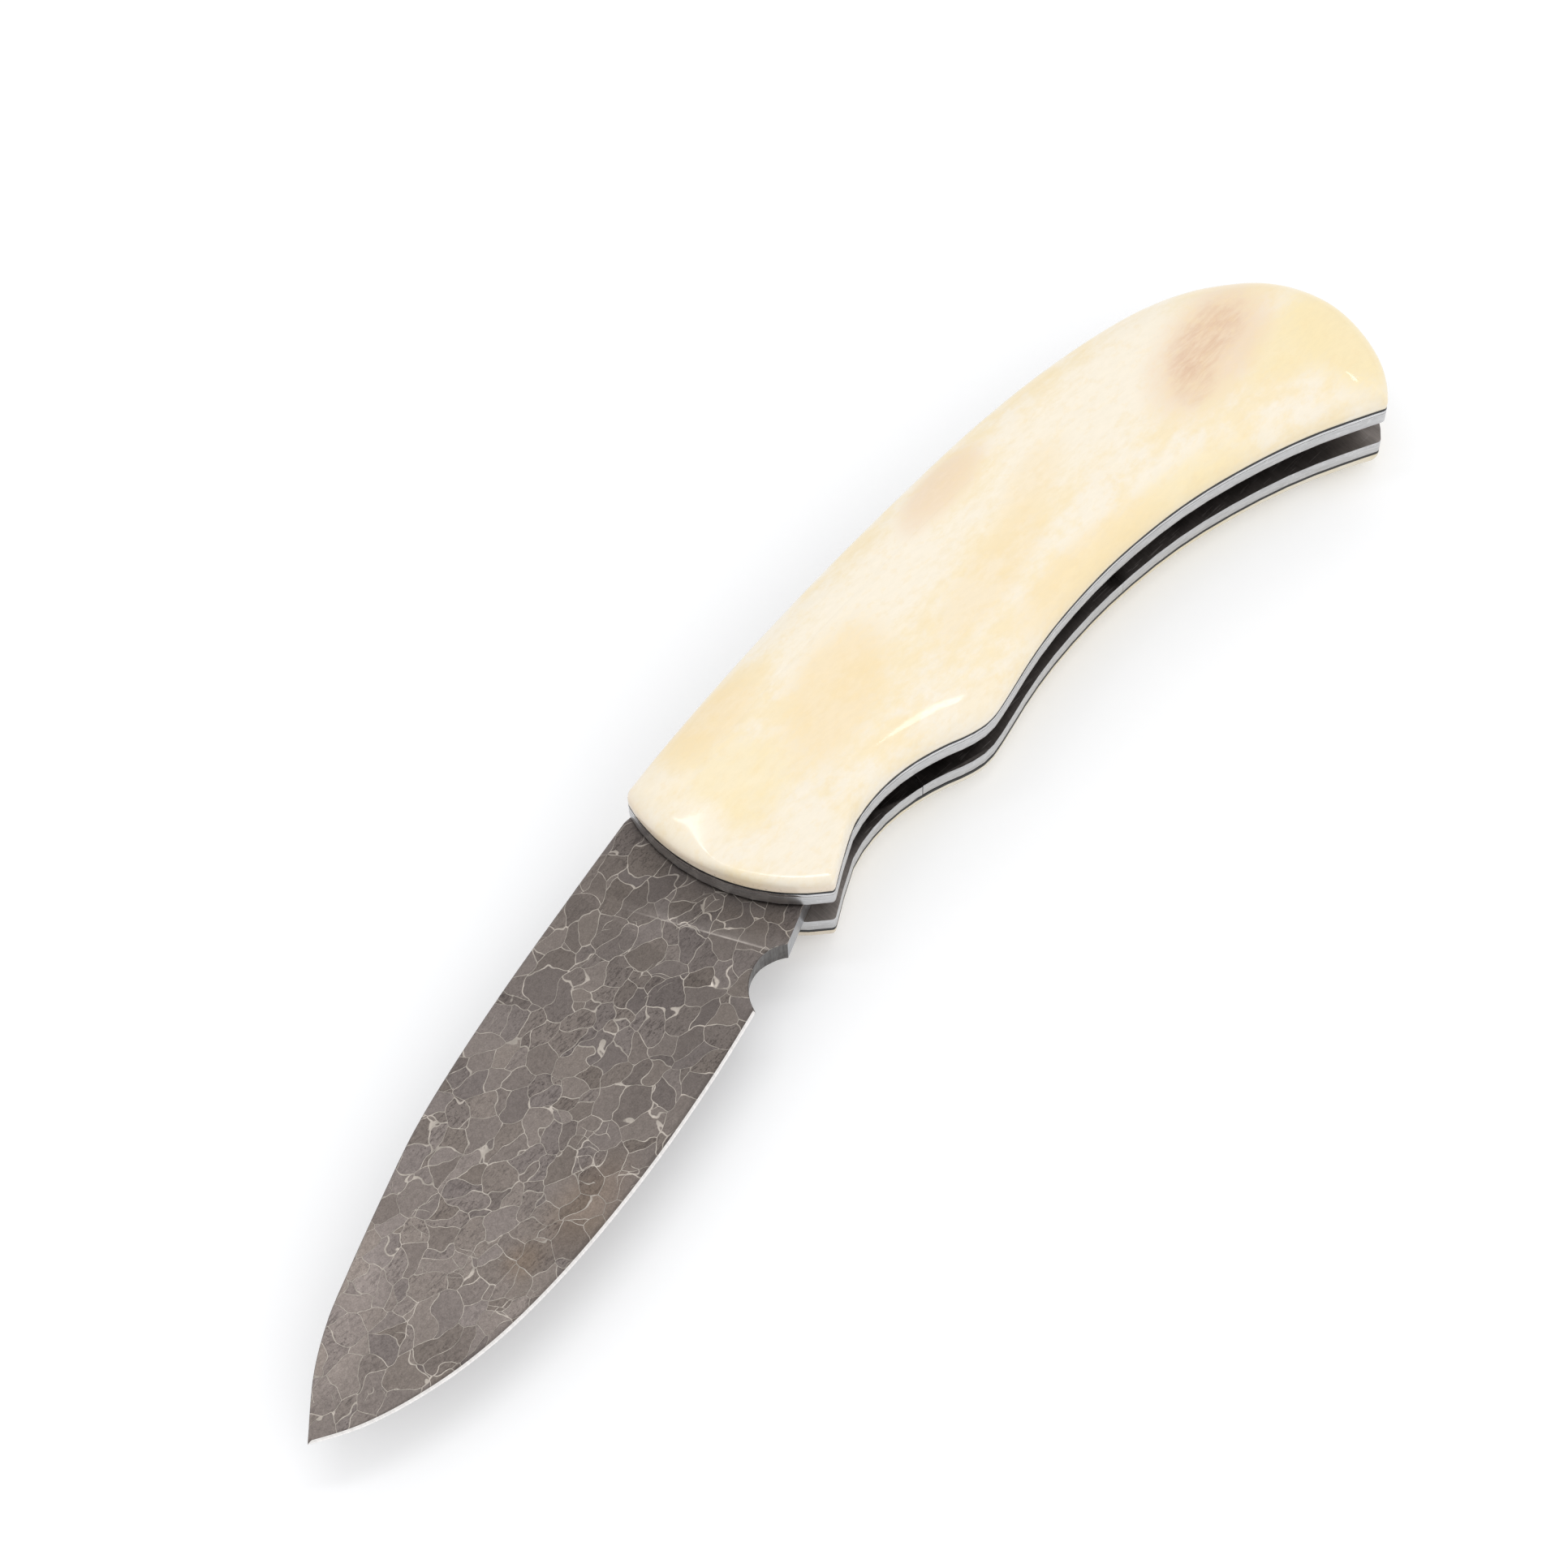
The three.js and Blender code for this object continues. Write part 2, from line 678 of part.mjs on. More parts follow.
// Frame of the handle
addPiece('show_liner', cut(
  slab(handleOutline, showLinerBottom, showLinerTop),
  linerCutters(showLinerBottom, showLinerTop),
), satinSteel);
addPiece('lock_liner', makeLockLiner(), satinSteel);
addPiece('back_spacer', makeBackSpacer(), satinSteel);
addPiece('show_backing_plate', layer(showLinerTop, plateTop, layerHoles), satinSteel);

// Lock bar and its ball, sprung up behind the tang
const lockBarAngle = Math.atan(lockBarLift / (barNoseX - lockBarRootX));
const lockBarHeight = lockLinerBottom + lockLinerThickness / 2;
const sprung = new THREE.Group();
sprung.position.set(lockBarRootX, 0, lockBarHeight);
sprung.rotation.y = -lockBarAngle;
group.add(sprung);
addPiece('lock_bar', makeLockBar().translate(-lockBarRootX, 0, -lockBarHeight), satinSteel, sprung);
const ballHeight = lockLinerTop + detentBallHeight - detentBallRadius - lockBarHeight;
const ball = new THREE.SphereGeometry(detentBallRadius, 12, 8);
ball.translate(detentBall.x - lockBarRootX, detentBall.y, ballHeight);
addPiece('detent_ball', ball, hardSteel, sprung);

// Scales and their spacers
addPiece('show_scale', makeShowScale(), ivory);
addPiece('back_scale', makeBackScale(), ivory);
addPiece('show_fibre_spacer', layer(plateTop, showScaleBottom, layerHoles), blackFibre);
addPiece('back_fibre_spacer', layer(backScaleTop, lockLinerBottom, layerHoles), blackFibre);

// Screws and inserts
const showBodyLength = showLinerThickness + bodyScrewThread;
const lockBodyLength = lockLinerThickness + bodyScrewThread;
const insertThread = scaleInsertLength - scaleScrewEndGap;
const showScaleLength = showScaleBottom - showLinerBottom + insertThread;
const backScaleLength = lockLinerTop - backScaleTop + insertThread;
const bodyScrews = [bodyScrewPlaces, bodyScrewHeadRadius, bodyScrewRadius];
const innerScrews = [scaleScrews, scaleScrewHeadRadius, scaleScrewRadius];
addScrews('show_body_screw', ...bodyScrews, showLinerTop, -1, showBodyLength);
addScrews('back_body_screw', ...bodyScrews, lockLinerBottom, 1, lockBodyLength);
addScrews('show_scale_screw', ...innerScrews, showLinerBottom, 1, showScaleLength);
addScrews('back_scale_screw', ...innerScrews, lockLinerTop, -1, backScaleLength);
addInserts('show_scale_insert', showScaleBottom, showScaleBottom + scaleInsertLength);
addInserts('back_scale_insert', backScaleTop - scaleInsertLength, backScaleTop);

export default group;
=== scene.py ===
import math
import bmesh
import bpy
from mathutils import Matrix, Vector


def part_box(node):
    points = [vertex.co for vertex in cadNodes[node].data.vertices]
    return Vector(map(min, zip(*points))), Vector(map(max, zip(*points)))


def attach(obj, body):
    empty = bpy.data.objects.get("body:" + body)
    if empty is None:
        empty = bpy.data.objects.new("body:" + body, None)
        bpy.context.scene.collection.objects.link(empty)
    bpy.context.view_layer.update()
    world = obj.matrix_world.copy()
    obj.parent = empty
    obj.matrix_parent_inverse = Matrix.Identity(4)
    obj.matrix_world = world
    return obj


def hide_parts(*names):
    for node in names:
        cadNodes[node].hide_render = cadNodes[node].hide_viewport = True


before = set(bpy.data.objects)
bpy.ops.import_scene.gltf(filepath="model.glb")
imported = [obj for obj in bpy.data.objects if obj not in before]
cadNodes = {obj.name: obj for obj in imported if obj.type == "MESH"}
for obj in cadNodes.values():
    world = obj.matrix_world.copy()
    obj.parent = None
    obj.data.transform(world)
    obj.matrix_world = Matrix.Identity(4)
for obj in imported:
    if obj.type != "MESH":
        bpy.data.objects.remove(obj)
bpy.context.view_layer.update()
mm = 0.001  # every measure below is in millimetres, and the meshes are in metres

# Folding pocket knife, lying open on its back scale. +X blade tip, +Y cutting edge, +Z up.
layers = {name: [corner.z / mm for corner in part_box(name)] for name in cadNodes}


def addObject(name, data):
    added = bpy.data.objects.new(name, data)
    bpy.context.scene.collection.objects.link(added)
    return added


# Camera and light

cameraSetup = {
    "place": (145.868, 157.160, 412.467),
    "aim": (-4.847, -2.588, 8.5),
    "roll": -2.93,
    "focalLength": 93.17,
    "sensor": 36.0,
    "nearest": 10.0,
}


def makeCamera():
    setup = cameraSetup
    camera = addObject("camera", bpy.data.cameras.new("camera"))
    camera.data.sensor_width = setup["sensor"]
    camera.data.lens = setup["focalLength"]
    camera.data.clip_start = setup["nearest"] * mm
    place = Vector(setup["place"]) * mm
    look = Vector(setup["aim"]) * mm - place
    turn = look.to_track_quat("-Z", "Y").to_matrix()
    turn = turn @ Matrix.Rotation(math.radians(setup["roll"]), 3, "Z")
    camera.matrix_world = Matrix.Translation(place) @ turn.to_4x4()
    bpy.context.scene.camera = camera
    print("camera ready")


lightSetup = {
    "worldStrength": 0.88,
    # a strip light hangs overhead, and the polished edges reflect it as fine lines
    "stripEnds": ((112, -184, 500), (-163, 58, 500)),
    "stripWidth": 46,
    "stripAim": (-10, 0, 8),
    "stripPower": 0.31,
    # a wide, weak light from the belly side pushes the shadow toward the spine
    "fillWay": (0.15, -0.75, -0.65),
    "fillAngle": 55.0,
    "fillStrength": 0.34,
}


def makeLights():
    setup = lightSetup
    world = bpy.data.worlds.new("studio")
    bpy.context.scene.world = world
    world.use_nodes = True
    background = world.node_tree.nodes["Background"]
    background.inputs["Color"].default_value = (1, 1, 1, 1)
    background.inputs["Strength"].default_value = setup["worldStrength"]
    first, last = [Vector(place) * mm for place in setup["stripEnds"]]
    data = bpy.data.lights.new("strip", "AREA")
    data.shape = "RECTANGLE"
    data.size = (last - first).length
    data.size_y = setup["stripWidth"] * mm
    data.energy = setup["stripPower"]
    strip = addObject("strip", data)
    place = (first + last) / 2
    back = (place - Vector(setup["stripAim"]) * mm).normalized()
    side = back.cross(last - first).normalized()
    turn = Matrix((side.cross(back), side, back)).transposed()
    strip.matrix_world = Matrix.Translation(place) @ turn.to_4x4()
    fill = addObject("fill", bpy.data.lights.new("fill", "SUN"))
    fill.data.energy = setup["fillStrength"]
    fill.data.angle = math.radians(setup["fillAngle"])
    fill.visible_glossy = False
    fill.matrix_world = Vector(setup["fillWay"]).to_track_quat("-Z", "Y").to_matrix().to_4x4()
    print("lights ready")


# Shader helpers

def addNode(tree, kind, **settings):
    node = tree.nodes.new("ShaderNode" + kind)
    for key, value in settings.items():
        setattr(node, key, value)
    return node


def feed(tree, socket, value):
    if isinstance(value, bpy.types.NodeSocket):
        tree.links.new(value, socket)
    elif socket.type == "RGBA":
        socket.default_value = (*value, 1)
    else:
        socket.default_value = value


def maths(tree, operation, first, second=0.5, clamp=False):
    node = addNode(tree, "Math", operation=operation, use_clamp=clamp)
    feed(tree, node.inputs[0], first)
    feed(tree, node.inputs[1], second)
    return node.outputs[0]


def times(tree, product, *factors):
    for factor in factors:
        product = maths(tree, "MULTIPLY", product, factor)
    return product


def vectorMaths(tree, operation, first, second):
    node = addNode(tree, "VectorMath", operation=operation)
    feed(tree, node.inputs[0], first)
    feed(tree, node.inputs["Scale" if operation == "SCALE" else 1], second)
    return node.outputs["Value" if operation == "DOT_PRODUCT" else "Vector"]


def split(tree, value, kind="XYZ"):
    node = addNode(tree, "Separate" + kind)
    feed(tree, node.inputs[0], value)
    return node.outputs


def mixColor(tree, factor, first, second, blend="MIX"):
    node = addNode(tree, "Mix", data_type="RGBA", blend_type=blend)
    feed(tree, node.inputs[0], factor)
    feed(tree, node.inputs[6], first)
    feed(tree, node.inputs[7], second)
    return node.outputs[2]


def shade(tree, color, tone):
    return mixColor(tree, 1.0, color, tone, "MULTIPLY")


def mixValue(tree, factor, first, second):
    node = addNode(tree, "Mix", data_type="FLOAT")
    feed(tree, node.inputs[0], factor)
    feed(tree, node.inputs[2], first)
    feed(tree, node.inputs[3], second)
    return node.outputs[0]


def spread(tree, value, low, high, toLow=0.0, toHigh=1.0):
    node = addNode(tree, "MapRange", interpolation_type="SMOOTHSTEP")
    feed(tree, node.inputs["Value"], value)
    feed(tree, node.inputs["From Min"], low)
    feed(tree, node.inputs["From Max"], high)
    feed(tree, node.inputs["To Min"], toLow)
    feed(tree, node.inputs["To Max"], toHigh)
    return node.outputs[0]


def objectMillimetres(tree, turn=0.0, stretch=(1, 1, 1)):
    mapping = addNode(tree, "Mapping")
    feed(tree, mapping.inputs["Vector"], addNode(tree, "TexCoord").outputs["Object"])
    mapping.inputs["Rotation"].default_value = (0, 0, math.radians(turn))
    mapping.inputs["Scale"].default_value = tuple(axis / mm for axis in stretch)
    return mapping.outputs[0]


def framed(tree, vector, zone):
    shifted = addNode(tree, "Mapping", vector_type="TEXTURE")
    feed(tree, shifted.inputs["Vector"], vector)
    shifted.inputs["Location"].default_value = (*zone["at"], 0)
    shifted.inputs["Rotation"].default_value = (0, 0, math.radians(zone["turn"]))
    shifted.inputs["Scale"].default_value = (*zone.get("reach", (1, 1)), 1000)
    return shifted.outputs[0]


# a mask that is 1 in the middle of a zone and 0 at its reach
def spot(tree, vector, zone):
    away = addNode(tree, "VectorMath", operation="LENGTH")
    feed(tree, away.inputs[0], framed(tree, vector, zone))
    return spread(tree, away.outputs["Value"], 0.1, 1.0, 1.0, 0.0)


def noise(tree, vector, scale, detail=3.0, roughness=0.5, distortion=0.0, output="Fac"):
    node = addNode(tree, "TexNoise")
    feed(tree, node.inputs["Vector"], vector)
    feed(tree, node.inputs["Scale"], scale)
    feed(tree, node.inputs["Detail"], detail)
    feed(tree, node.inputs["Roughness"], roughness)
    feed(tree, node.inputs["Distortion"], distortion)
    return node.outputs[output]


# a look holds its noise (scale, detail, roughness, distortion), and the values between which the
# mask rises, followed by what it gives there if that isn't 0 and 1
def mottle(tree, vector, look):
    return spread(tree, noise(tree, vector, *look["noise"]), *look["between"])


def voronoi(tree, vector, scale, feature="F1", output="Distance"):
    node = addNode(tree, "TexVoronoi", feature=feature)
    feed(tree, node.inputs["Vector"], vector)
    feed(tree, node.inputs["Scale"], scale)
    return node.outputs[output]


def bump(tree, height, distance, strength=1.0, normal=None):
    node = addNode(tree, "Bump")
    feed(tree, node.inputs["Height"], height)
    feed(tree, node.inputs["Strength"], strength)
    feed(tree, node.inputs["Distance"], distance * mm)
    if normal:
        feed(tree, node.inputs["Normal"], normal)
    return node.outputs[0]


def newMaterial(name, color, roughness, metallic=0.0):
    material = bpy.data.materials.new(name)
    material.use_nodes = True
    tree = material.node_tree
    shader = tree.nodes["Principled BSDF"]
    feed(tree, shader.inputs["Base Color"], color)
    feed(tree, shader.inputs["Roughness"], roughness)
    feed(tree, shader.inputs["Metallic"], metallic)
    return material, tree, shader


def dress(tree, shader, color, roughness, normal):
    feed(tree, shader.inputs["Base Color"], color)
    feed(tree, shader.inputs["Roughness"], roughness)
    feed(tree, shader.inputs["Normal"], normal)


def newGroup(name, inputs, outputs):
    tree = bpy.data.node_groups.new(name, "ShaderNodeTree")
    for socketName, value in inputs.items():
        kind = "NodeSocketFloat" if isinstance(value, float) else "NodeSocketVector"
        socket = tree.interface.new_socket(socketName, in_out="INPUT", socket_type=kind)
        socket.default_value = value
    for socketName in outputs:
        tree.interface.new_socket(socketName, in_out="OUTPUT", socket_type="NodeSocketFloat")
    return tree, tree.nodes.new("NodeGroupInput").outputs, tree.nodes.new("NodeGroupOutput").inputs


def placeGroup(tree, group, **values):
    node = addNode(tree, "Group")
    node.node_tree = group
    for key, value in values.items():
        feed(tree, node.inputs[key], value)
    return node.outputs


def brushed(tree, setup):
    place = objectMillimetres(tree, 0, setup["brush"])
    return placeGroup(tree, brushedGrain, Vector=place, **setup["grain"])


# Effects that several finishes share

grainSetup = {"fineness": 3.7, "fineShare": 0.45, "smudges": (0.35, 0.68)}


def makeBrushedGroup():
    setup = grainSetup
    tree, given, out = newGroup(
        "brushedGrain",
        {"Vector": (0, 0, 0), "Scale": 4.0, "Patches": 0.3},
        ["Streaks", "Smudges"],
    )
    fineScale = times(tree, given["Scale"], setup["fineness"])
    coarse, fine = [
        noise(tree, given["Vector"], scale, 2.0, 0.6) for scale in (given["Scale"], fineScale)
    ]
    feed(tree, out["Streaks"], mixValue(tree, setup["fineShare"], coarse, fine))
    smudges = noise(tree, objectMillimetres(tree), given["Patches"], 4.0, 0.55, 0.6)
    feed(tree, out["Smudges"], spread(tree, smudges, *setup["smudges"]))
    return tree


# an edge is where the rounded normal leaves the real one; its wear, painted brighter partly as an
# edge highlight, is broken up by noise
wearAndSheenSetup = {"edge": (0.02, 0.22), "broken": (0.32, 0.62, 0.35, 1.0)}


def makeEdgeWearAndSheenGroup():
    setup = wearAndSheenSetup
    tree, given, out = newGroup(
        "edgeWearAndSheen", {"Radius": 0.15, "Breakup": 1.5, "Amount": 1.0}, ["Mask"],
    )
    rounded = addNode(tree, "Bevel", samples=4)
    feed(tree, rounded.inputs["Radius"], times(tree, given["Radius"], mm))
    straight = addNode(tree, "NewGeometry").outputs["Normal"]
    alike = vectorMaths(tree, "DOT_PRODUCT", rounded.outputs[0], straight)
    edge = spread(tree, maths(tree, "SUBTRACT", 1.0, alike), *setup["edge"])
    broken = noise(tree, objectMillimetres(tree), given["Breakup"], 3.0, 0.6)
    wornAndSheen = times(tree, edge, spread(tree, broken, *setup["broken"]))
    feed(tree, out["Mask"], maths(tree, "MULTIPLY", wornAndSheen, given["Amount"], True))
    return tree


scratchSetup = {
    "turns": (23, 101, 152),
    "shifts": (3.1, 7.7, 12.9),
    "stretch": (0.06, 1.0, 0.4),
    "fineness": 9.0,
    "between": (0.68, 0.74),
}


def makeScratchGroup():
    setup = scratchSetup
    tree, given, out = newGroup("fineScratches", {"Scale": 0.5, "Density": 0.5}, ["Mask"])
    plain = objectMillimetres(tree)
    scale = times(tree, given["Scale"], setup["fineness"])
    strongest = 0.0
    for turn, shift in zip(setup["turns"], setup["shifts"]):
        turned = addNode(tree, "Mapping")
        feed(tree, turned.inputs["Vector"], plain)
        turned.inputs["Location"].default_value = (shift, -shift, shift)
        turned.inputs["Rotation"].default_value = (0, 0, math.radians(turn))
        turned.inputs["Scale"].default_value = setup["stretch"]
        streak = noise(tree, turned.outputs[0], scale, 1.0, 0.5, 0.3)
        streak = spread(tree, streak, *setup["between"])
        strongest = maths(tree, "MAXIMUM", strongest, streak)
    feed(tree, out["Mask"], times(tree, strongest, given["Density"]))
    return tree


# Etched steel of the blade's flats

etchedSetup = {
    # the cells are drawn out along the blade and reach through it, and noise bends their seams
    "cellSize": 2.25,
    "grainTurn": -8.0,
    "stretch": (1 / 1.5, 1, 0.3),
    "bends": [{"scale": 0.16, "reach": 4.6}, {"scale": 0.75, "reach": 0.2}],
    # the seams are thin everywhere, and thick in a few short runs
    "thinHalf": 0.034,
    "thickHalf": 0.082,
    "seamSoftness": (0.6, 1.4),
    "thickRuns": {"noise": (0.5, 1.0, 0.5), "between": (0.735, 0.80)},
    # in a few places a second net of seams crosses the first, and tapers off around them
    "crossSize": 2.6,
    "crossShift": (31.0, 17.0, 5.0),
    "crossRuns": {"noise": (0.21, 1.0, 0.5), "between": (0.60, 0.70)},
    "crossLeast": 0.002,
    # small closed loops sit here and there on the seams
    "ringSpacing": 6.0,
    "ringRadius": (0.22, 0.6),
    "ringLine": (0.02, 0.06),
    "ringAbove": 0.66,
    "lineColor": (0.39, 0.352, 0.315),
    "thickLineColor": (0.50, 0.455, 0.41),
    "lineTone": {"noise": (0.4, 2.0, 0.5), "between": (0.35, 0.65, 0.78, 1.12)},
    # each cell has its own tone and hue
    "darkCell": (0.128, 0.110, 0.102),
    "lightCell": (0.211, 0.184, 0.171),
    "purpleCell": (0.154, 0.134, 0.131),
    "brownCell": (0.178, 0.149, 0.124),
    "hueShare": 0.35,
    # some cells are streaked and speckled, and more so in some regions
    "streakStretch": (0.28, 1.0, 0.5),
    "streaks": {"noise": (3.0, 3.0, 0.7, 0.3), "between": (0.51, 0.62, 0.0, 0.52)},
    "specks": {"noise": (4.2, 2.0, 0.6), "between": (0.57, 0.67, 0.0, 0.65)},
    "busyCells": (0.25, 0.65, 0.25, 1.0),
    "busyRegions": {"noise": (0.13, 2.0, 0.5), "between": (0.42, 0.60, 0.5, 1.0)},
    "speckColor": (0.050, 0.041, 0.041),
    "grain": {"noise": (6.0, 3.0, 0.75), "between": (0.2, 0.8, 0.80, 1.20)},
    # painted reflection: the tone rises from the rear toward the tip
    "paintedLightRise": (6, 74, 0.915, 1.18),
    "patches": {"noise": (0.055, 2.0, 0.5), "between": (0.35, 0.65, 0.93, 1.07)},
    "paleZone": {"at": (74, 7.5), "reach": (17, 7), "turn": 27, "tone": 1.33},
    # the etch has turned brown in two places near the edge
    "brownZones": [
        {"at": (46.5, 18), "reach": (9.5, 4.8), "turn": 5},
        {"at": (56, 17.6), "reach": (3.6, 2.8), "turn": 0},
    ],
    "brownTint": (1.06, 0.985, 0.89),
    "cellRoughness": 0.46,
    "lineRoughness": 0.44,
    "roughnessShift": {"noise": (2.0, 4.0, 0.6), "between": (0.2, 0.8, -0.05, 0.07)},
    "lineRise": 0.012,
    "tooth": (9.0, 3.0, 0.7),
    "toothRise": 0.010,
    "wearAndSheen": {"Radius": 0.12, "Breakup": 0.8, "Amount": 0.55},
    "wearAndSheenColor": (0.32, 0.30, 0.29),
}

# a painted highlight along the corner where the flat of the tang meets the grind
plungeHighlightSetup = {
    "at": (11.2, 12.9),
    "turn": 26.0,
    # a fine painted highlight line on the corner, and a weak painted glow that rises toward it over
    # the tang
    "line": (0.045, 0.144, 0.9, 0.0),
    "glow": (-2.6, 0, 0, 0.25),
    "broken": {"noise": (0.35, 2.0, 0.6), "between": (0.35, 0.65, 0.45, 1.0)},
    # both are strongest near the choil and gone before the spine
    "fade": (-21, -7),
    "color": (0.44, 0.40, 0.37),
}


def seamDistance(tree, place, size):
    return times(tree, voronoi(tree, place, 1 / size, "DISTANCE_TO_EDGE"), size)


def seamLine(tree, distance, half):
    inner, outer = [times(tree, half, share) for share in etchedSetup["seamSoftness"]]
    return spread(tree, distance, inner, outer, 1.0, 0.0)


def etchedSeams(tree, place, along):
    setup = etchedSetup
    thick = mottle(tree, along, setup["thickRuns"])
    half = mixValue(tree, thick, setup["thinHalf"], setup["thickHalf"])
    line = seamLine(tree, seamDistance(tree, place, setup["cellSize"]), half)
    shifted = vectorMaths(tree, "ADD", place, setup["crossShift"])
    half = times(tree, mottle(tree, along, setup["crossRuns"]), setup["thinHalf"])
    cross = seamLine(tree, seamDistance(tree, shifted, setup["crossSize"]), half)
    cross = times(tree, cross, maths(tree, "GREATER_THAN", half, setup["crossLeast"]))
    spacing = setup["ringSpacing"]
    chance = split(tree, voronoi(tree, place, 1 / spacing, "F1", "Color"), "Color")
    radius = spread(tree, chance[0], 0.0, 1.0, *setup["ringRadius"])
    away = times(tree, voronoi(tree, place, 1 / spacing), spacing)
    away = maths(tree, "ABSOLUTE", maths(tree, "SUBTRACT", away, radius))
    ring = spread(tree, away, *setup["ringLine"], 1.0, 0.0)
    ring = times(tree, ring, maths(tree, "GREATER_THAN", chance[1], setup["ringAbove"]))
    return maths(tree, "MAXIMUM", line, maths(tree, "MAXIMUM", cross, ring)), thick


def etchedCells(tree, place, along, plain):
    setup = etchedSetup
    chance = split(tree, voronoi(tree, place, 1 / setup["cellSize"], "F1", "Color"), "Color")
    color = mixColor(tree, chance[0], setup["darkCell"], setup["lightCell"])
    hue = mixColor(tree, chance[1], setup["purpleCell"], setup["brownCell"])
    color = mixColor(tree, setup["hueShare"], color, hue)
    drawn = objectMillimetres(tree, setup["grainTurn"], setup["streakStretch"])
    streaks = mottle(tree, drawn, setup["streaks"])
    dark = maths(tree, "MAXIMUM", streaks, mottle(tree, along, setup["specks"]))
    busy = spread(tree, chance[2], *setup["busyCells"])
    dark = times(tree, dark, busy, mottle(tree, plain, setup["busyRegions"]))
    color = mixColor(tree, dark, color, setup["speckColor"])
    color = shade(tree, color, mottle(tree, plain, setup["grain"]))
    # painted reflection: the cells are lighter toward the tip
    tone = spread(tree, split(tree, plain)[0], *setup["paintedLightRise"])
    color = shade(tree, color, times(tree, tone, mottle(tree, plain, setup["patches"])))
    zone = setup["paleZone"]
    color = shade(tree, color, spread(tree, spot(tree, plain, zone), 0, 1, 1, zone["tone"]))
    for zone in setup["brownZones"]:
        brown = spot(tree, plain, zone)
        color = mixColor(tree, brown, color, setup["brownTint"], "MULTIPLY")
    return color


# painted highlight: a bright line on the plunge corner and a glow over the tang
def plungePaintedHighlight(tree, plain):
    setup = plungeHighlightSetup
    sides = split(tree, framed(tree, plain, setup))  # across the line, and along it
    line = spread(tree, maths(tree, "ABSOLUTE", sides[0]), *setup["line"])
    glow = spread(tree, sides[0], *setup["glow"])
    glow = times(tree, glow, maths(tree, "LESS_THAN", sides[0], 0))
    fade = times(tree, mottle(tree, plain, setup["broken"]), spread(tree, sides[1], *setup["fade"]))
    return times(tree, maths(tree, "MAXIMUM", line, glow), fade)


def makeEtchedSteel():
    setup = etchedSetup
    material, tree, shader = newMaterial(
        "etchedMosaicSteel", setup["darkCell"], setup["cellRoughness"], 1.0,
    )
    plain = objectMillimetres(tree)
    along = objectMillimetres(tree, setup["grainTurn"], setup["stretch"])
    place = along
    for bend in setup["bends"]:
        drift = noise(tree, plain, bend["scale"], 2.0, 0.5, 0.0, "Color")
        drift = vectorMaths(tree, "SUBTRACT", drift, (0.5, 0.5, 0.5))
        place = vectorMaths(tree, "ADD", place, vectorMaths(tree, "SCALE", drift, bend["reach"]))
    line, thick = etchedSeams(tree, place, along)
    lineColor = mixColor(tree, thick, setup["lineColor"], setup["thickLineColor"])
    lineColor = shade(tree, lineColor, mottle(tree, plain, setup["lineTone"]))
    color = mixColor(tree, line, etchedCells(tree, place, along, plain), lineColor)
    # painted highlight along the plunge line
    color = mixColor(tree, plungePaintedHighlight(tree, plain), color, plungeHighlightSetup["color"])
    # edge wear, and a painted highlight along the edges
    wearAndSheen = placeGroup(tree, edgeWearAndSheen, **setup["wearAndSheen"])["Mask"]
    color = mixColor(tree, wearAndSheen, color, setup["wearAndSheenColor"])
    roughness = mixValue(tree, line, setup["cellRoughness"], setup["lineRoughness"])
    roughness = maths(tree, "ADD", roughness, mottle(tree, plain, setup["roughnessShift"]))
    raised = bump(tree, line, setup["lineRise"])
    tooth = noise(tree, plain, *setup["tooth"])
    dress(tree, shader, color, roughness, bump(tree, tooth, setup["toothRise"], 0.5, raised))
    return material


# Steel of the blade's walls and of its sharpened bevel

groundSetup = {
    "color": (0.080, 0.074, 0.070),
    "light": (0.20, 0.195, 0.19),
    "wornAndSheen": (0.40, 0.40, 0.41),
    "roughness": (0.28, 0.44),
    "brush": (1, 1, 0.05),
    "grain": {"Scale": 5.0, "Patches": 0.5},
    "streaks": (0.38, 0.66, 0.0, 0.5),
    "wearAndSheen": {"Radius": 0.14, "Breakup": 0.9, "Amount": 0.5},
    # the lower edge of the tang is satin, and the choil and the spine are left dark
    "tang": (0.40, 0.41, 0.43),
    "tangFront": (0.05, -0.15),
    "tangSide": (-2, 2),
}


def makeGroundSteel():
    setup = groundSetup
    material, tree, shader = newMaterial(
        "groundWallSteel", setup["color"], setup["roughness"][0], 1.0,
    )
    grain = brushed(tree, setup)
    streaks = spread(tree, grain["Streaks"], *setup["streaks"])
    color = mixColor(tree, streaks, setup["color"], setup["light"])
    places = split(tree, objectMillimetres(tree))
    front = [bladeShape["choilCorner"][0] + shift for shift in setup["tangFront"]]
    tang = spread(tree, places[0], *front)
    tang = times(tree, tang, spread(tree, places[1], *setup["tangSide"]))
    color = mixColor(tree, tang, color, setup["tang"])
    # edge wear, and a painted highlight along the edges
    wearAndSheen = placeGroup(tree, edgeWearAndSheen, **setup["wearAndSheen"])["Mask"]
    color = mixColor(tree, wearAndSheen, color, setup["wornAndSheen"])
    roughness = spread(tree, grain["Smudges"], 0.0, 1.0, *setup["roughness"])
    dress(tree, shader, color, roughness, bump(tree, grain["Streaks"], 0.02, 0.6))
    return material


bevelSetup = {
    "color": (0.96, 0.93, 0.91),
    "tone": (0.3, 0.7, 0.86, 1.05),
    "roughness": (0.30, 0.42),
    "brush": (1.0, 0.12, 0.12),
    "grain": {"Scale": 3.0, "Patches": 0.4},
}


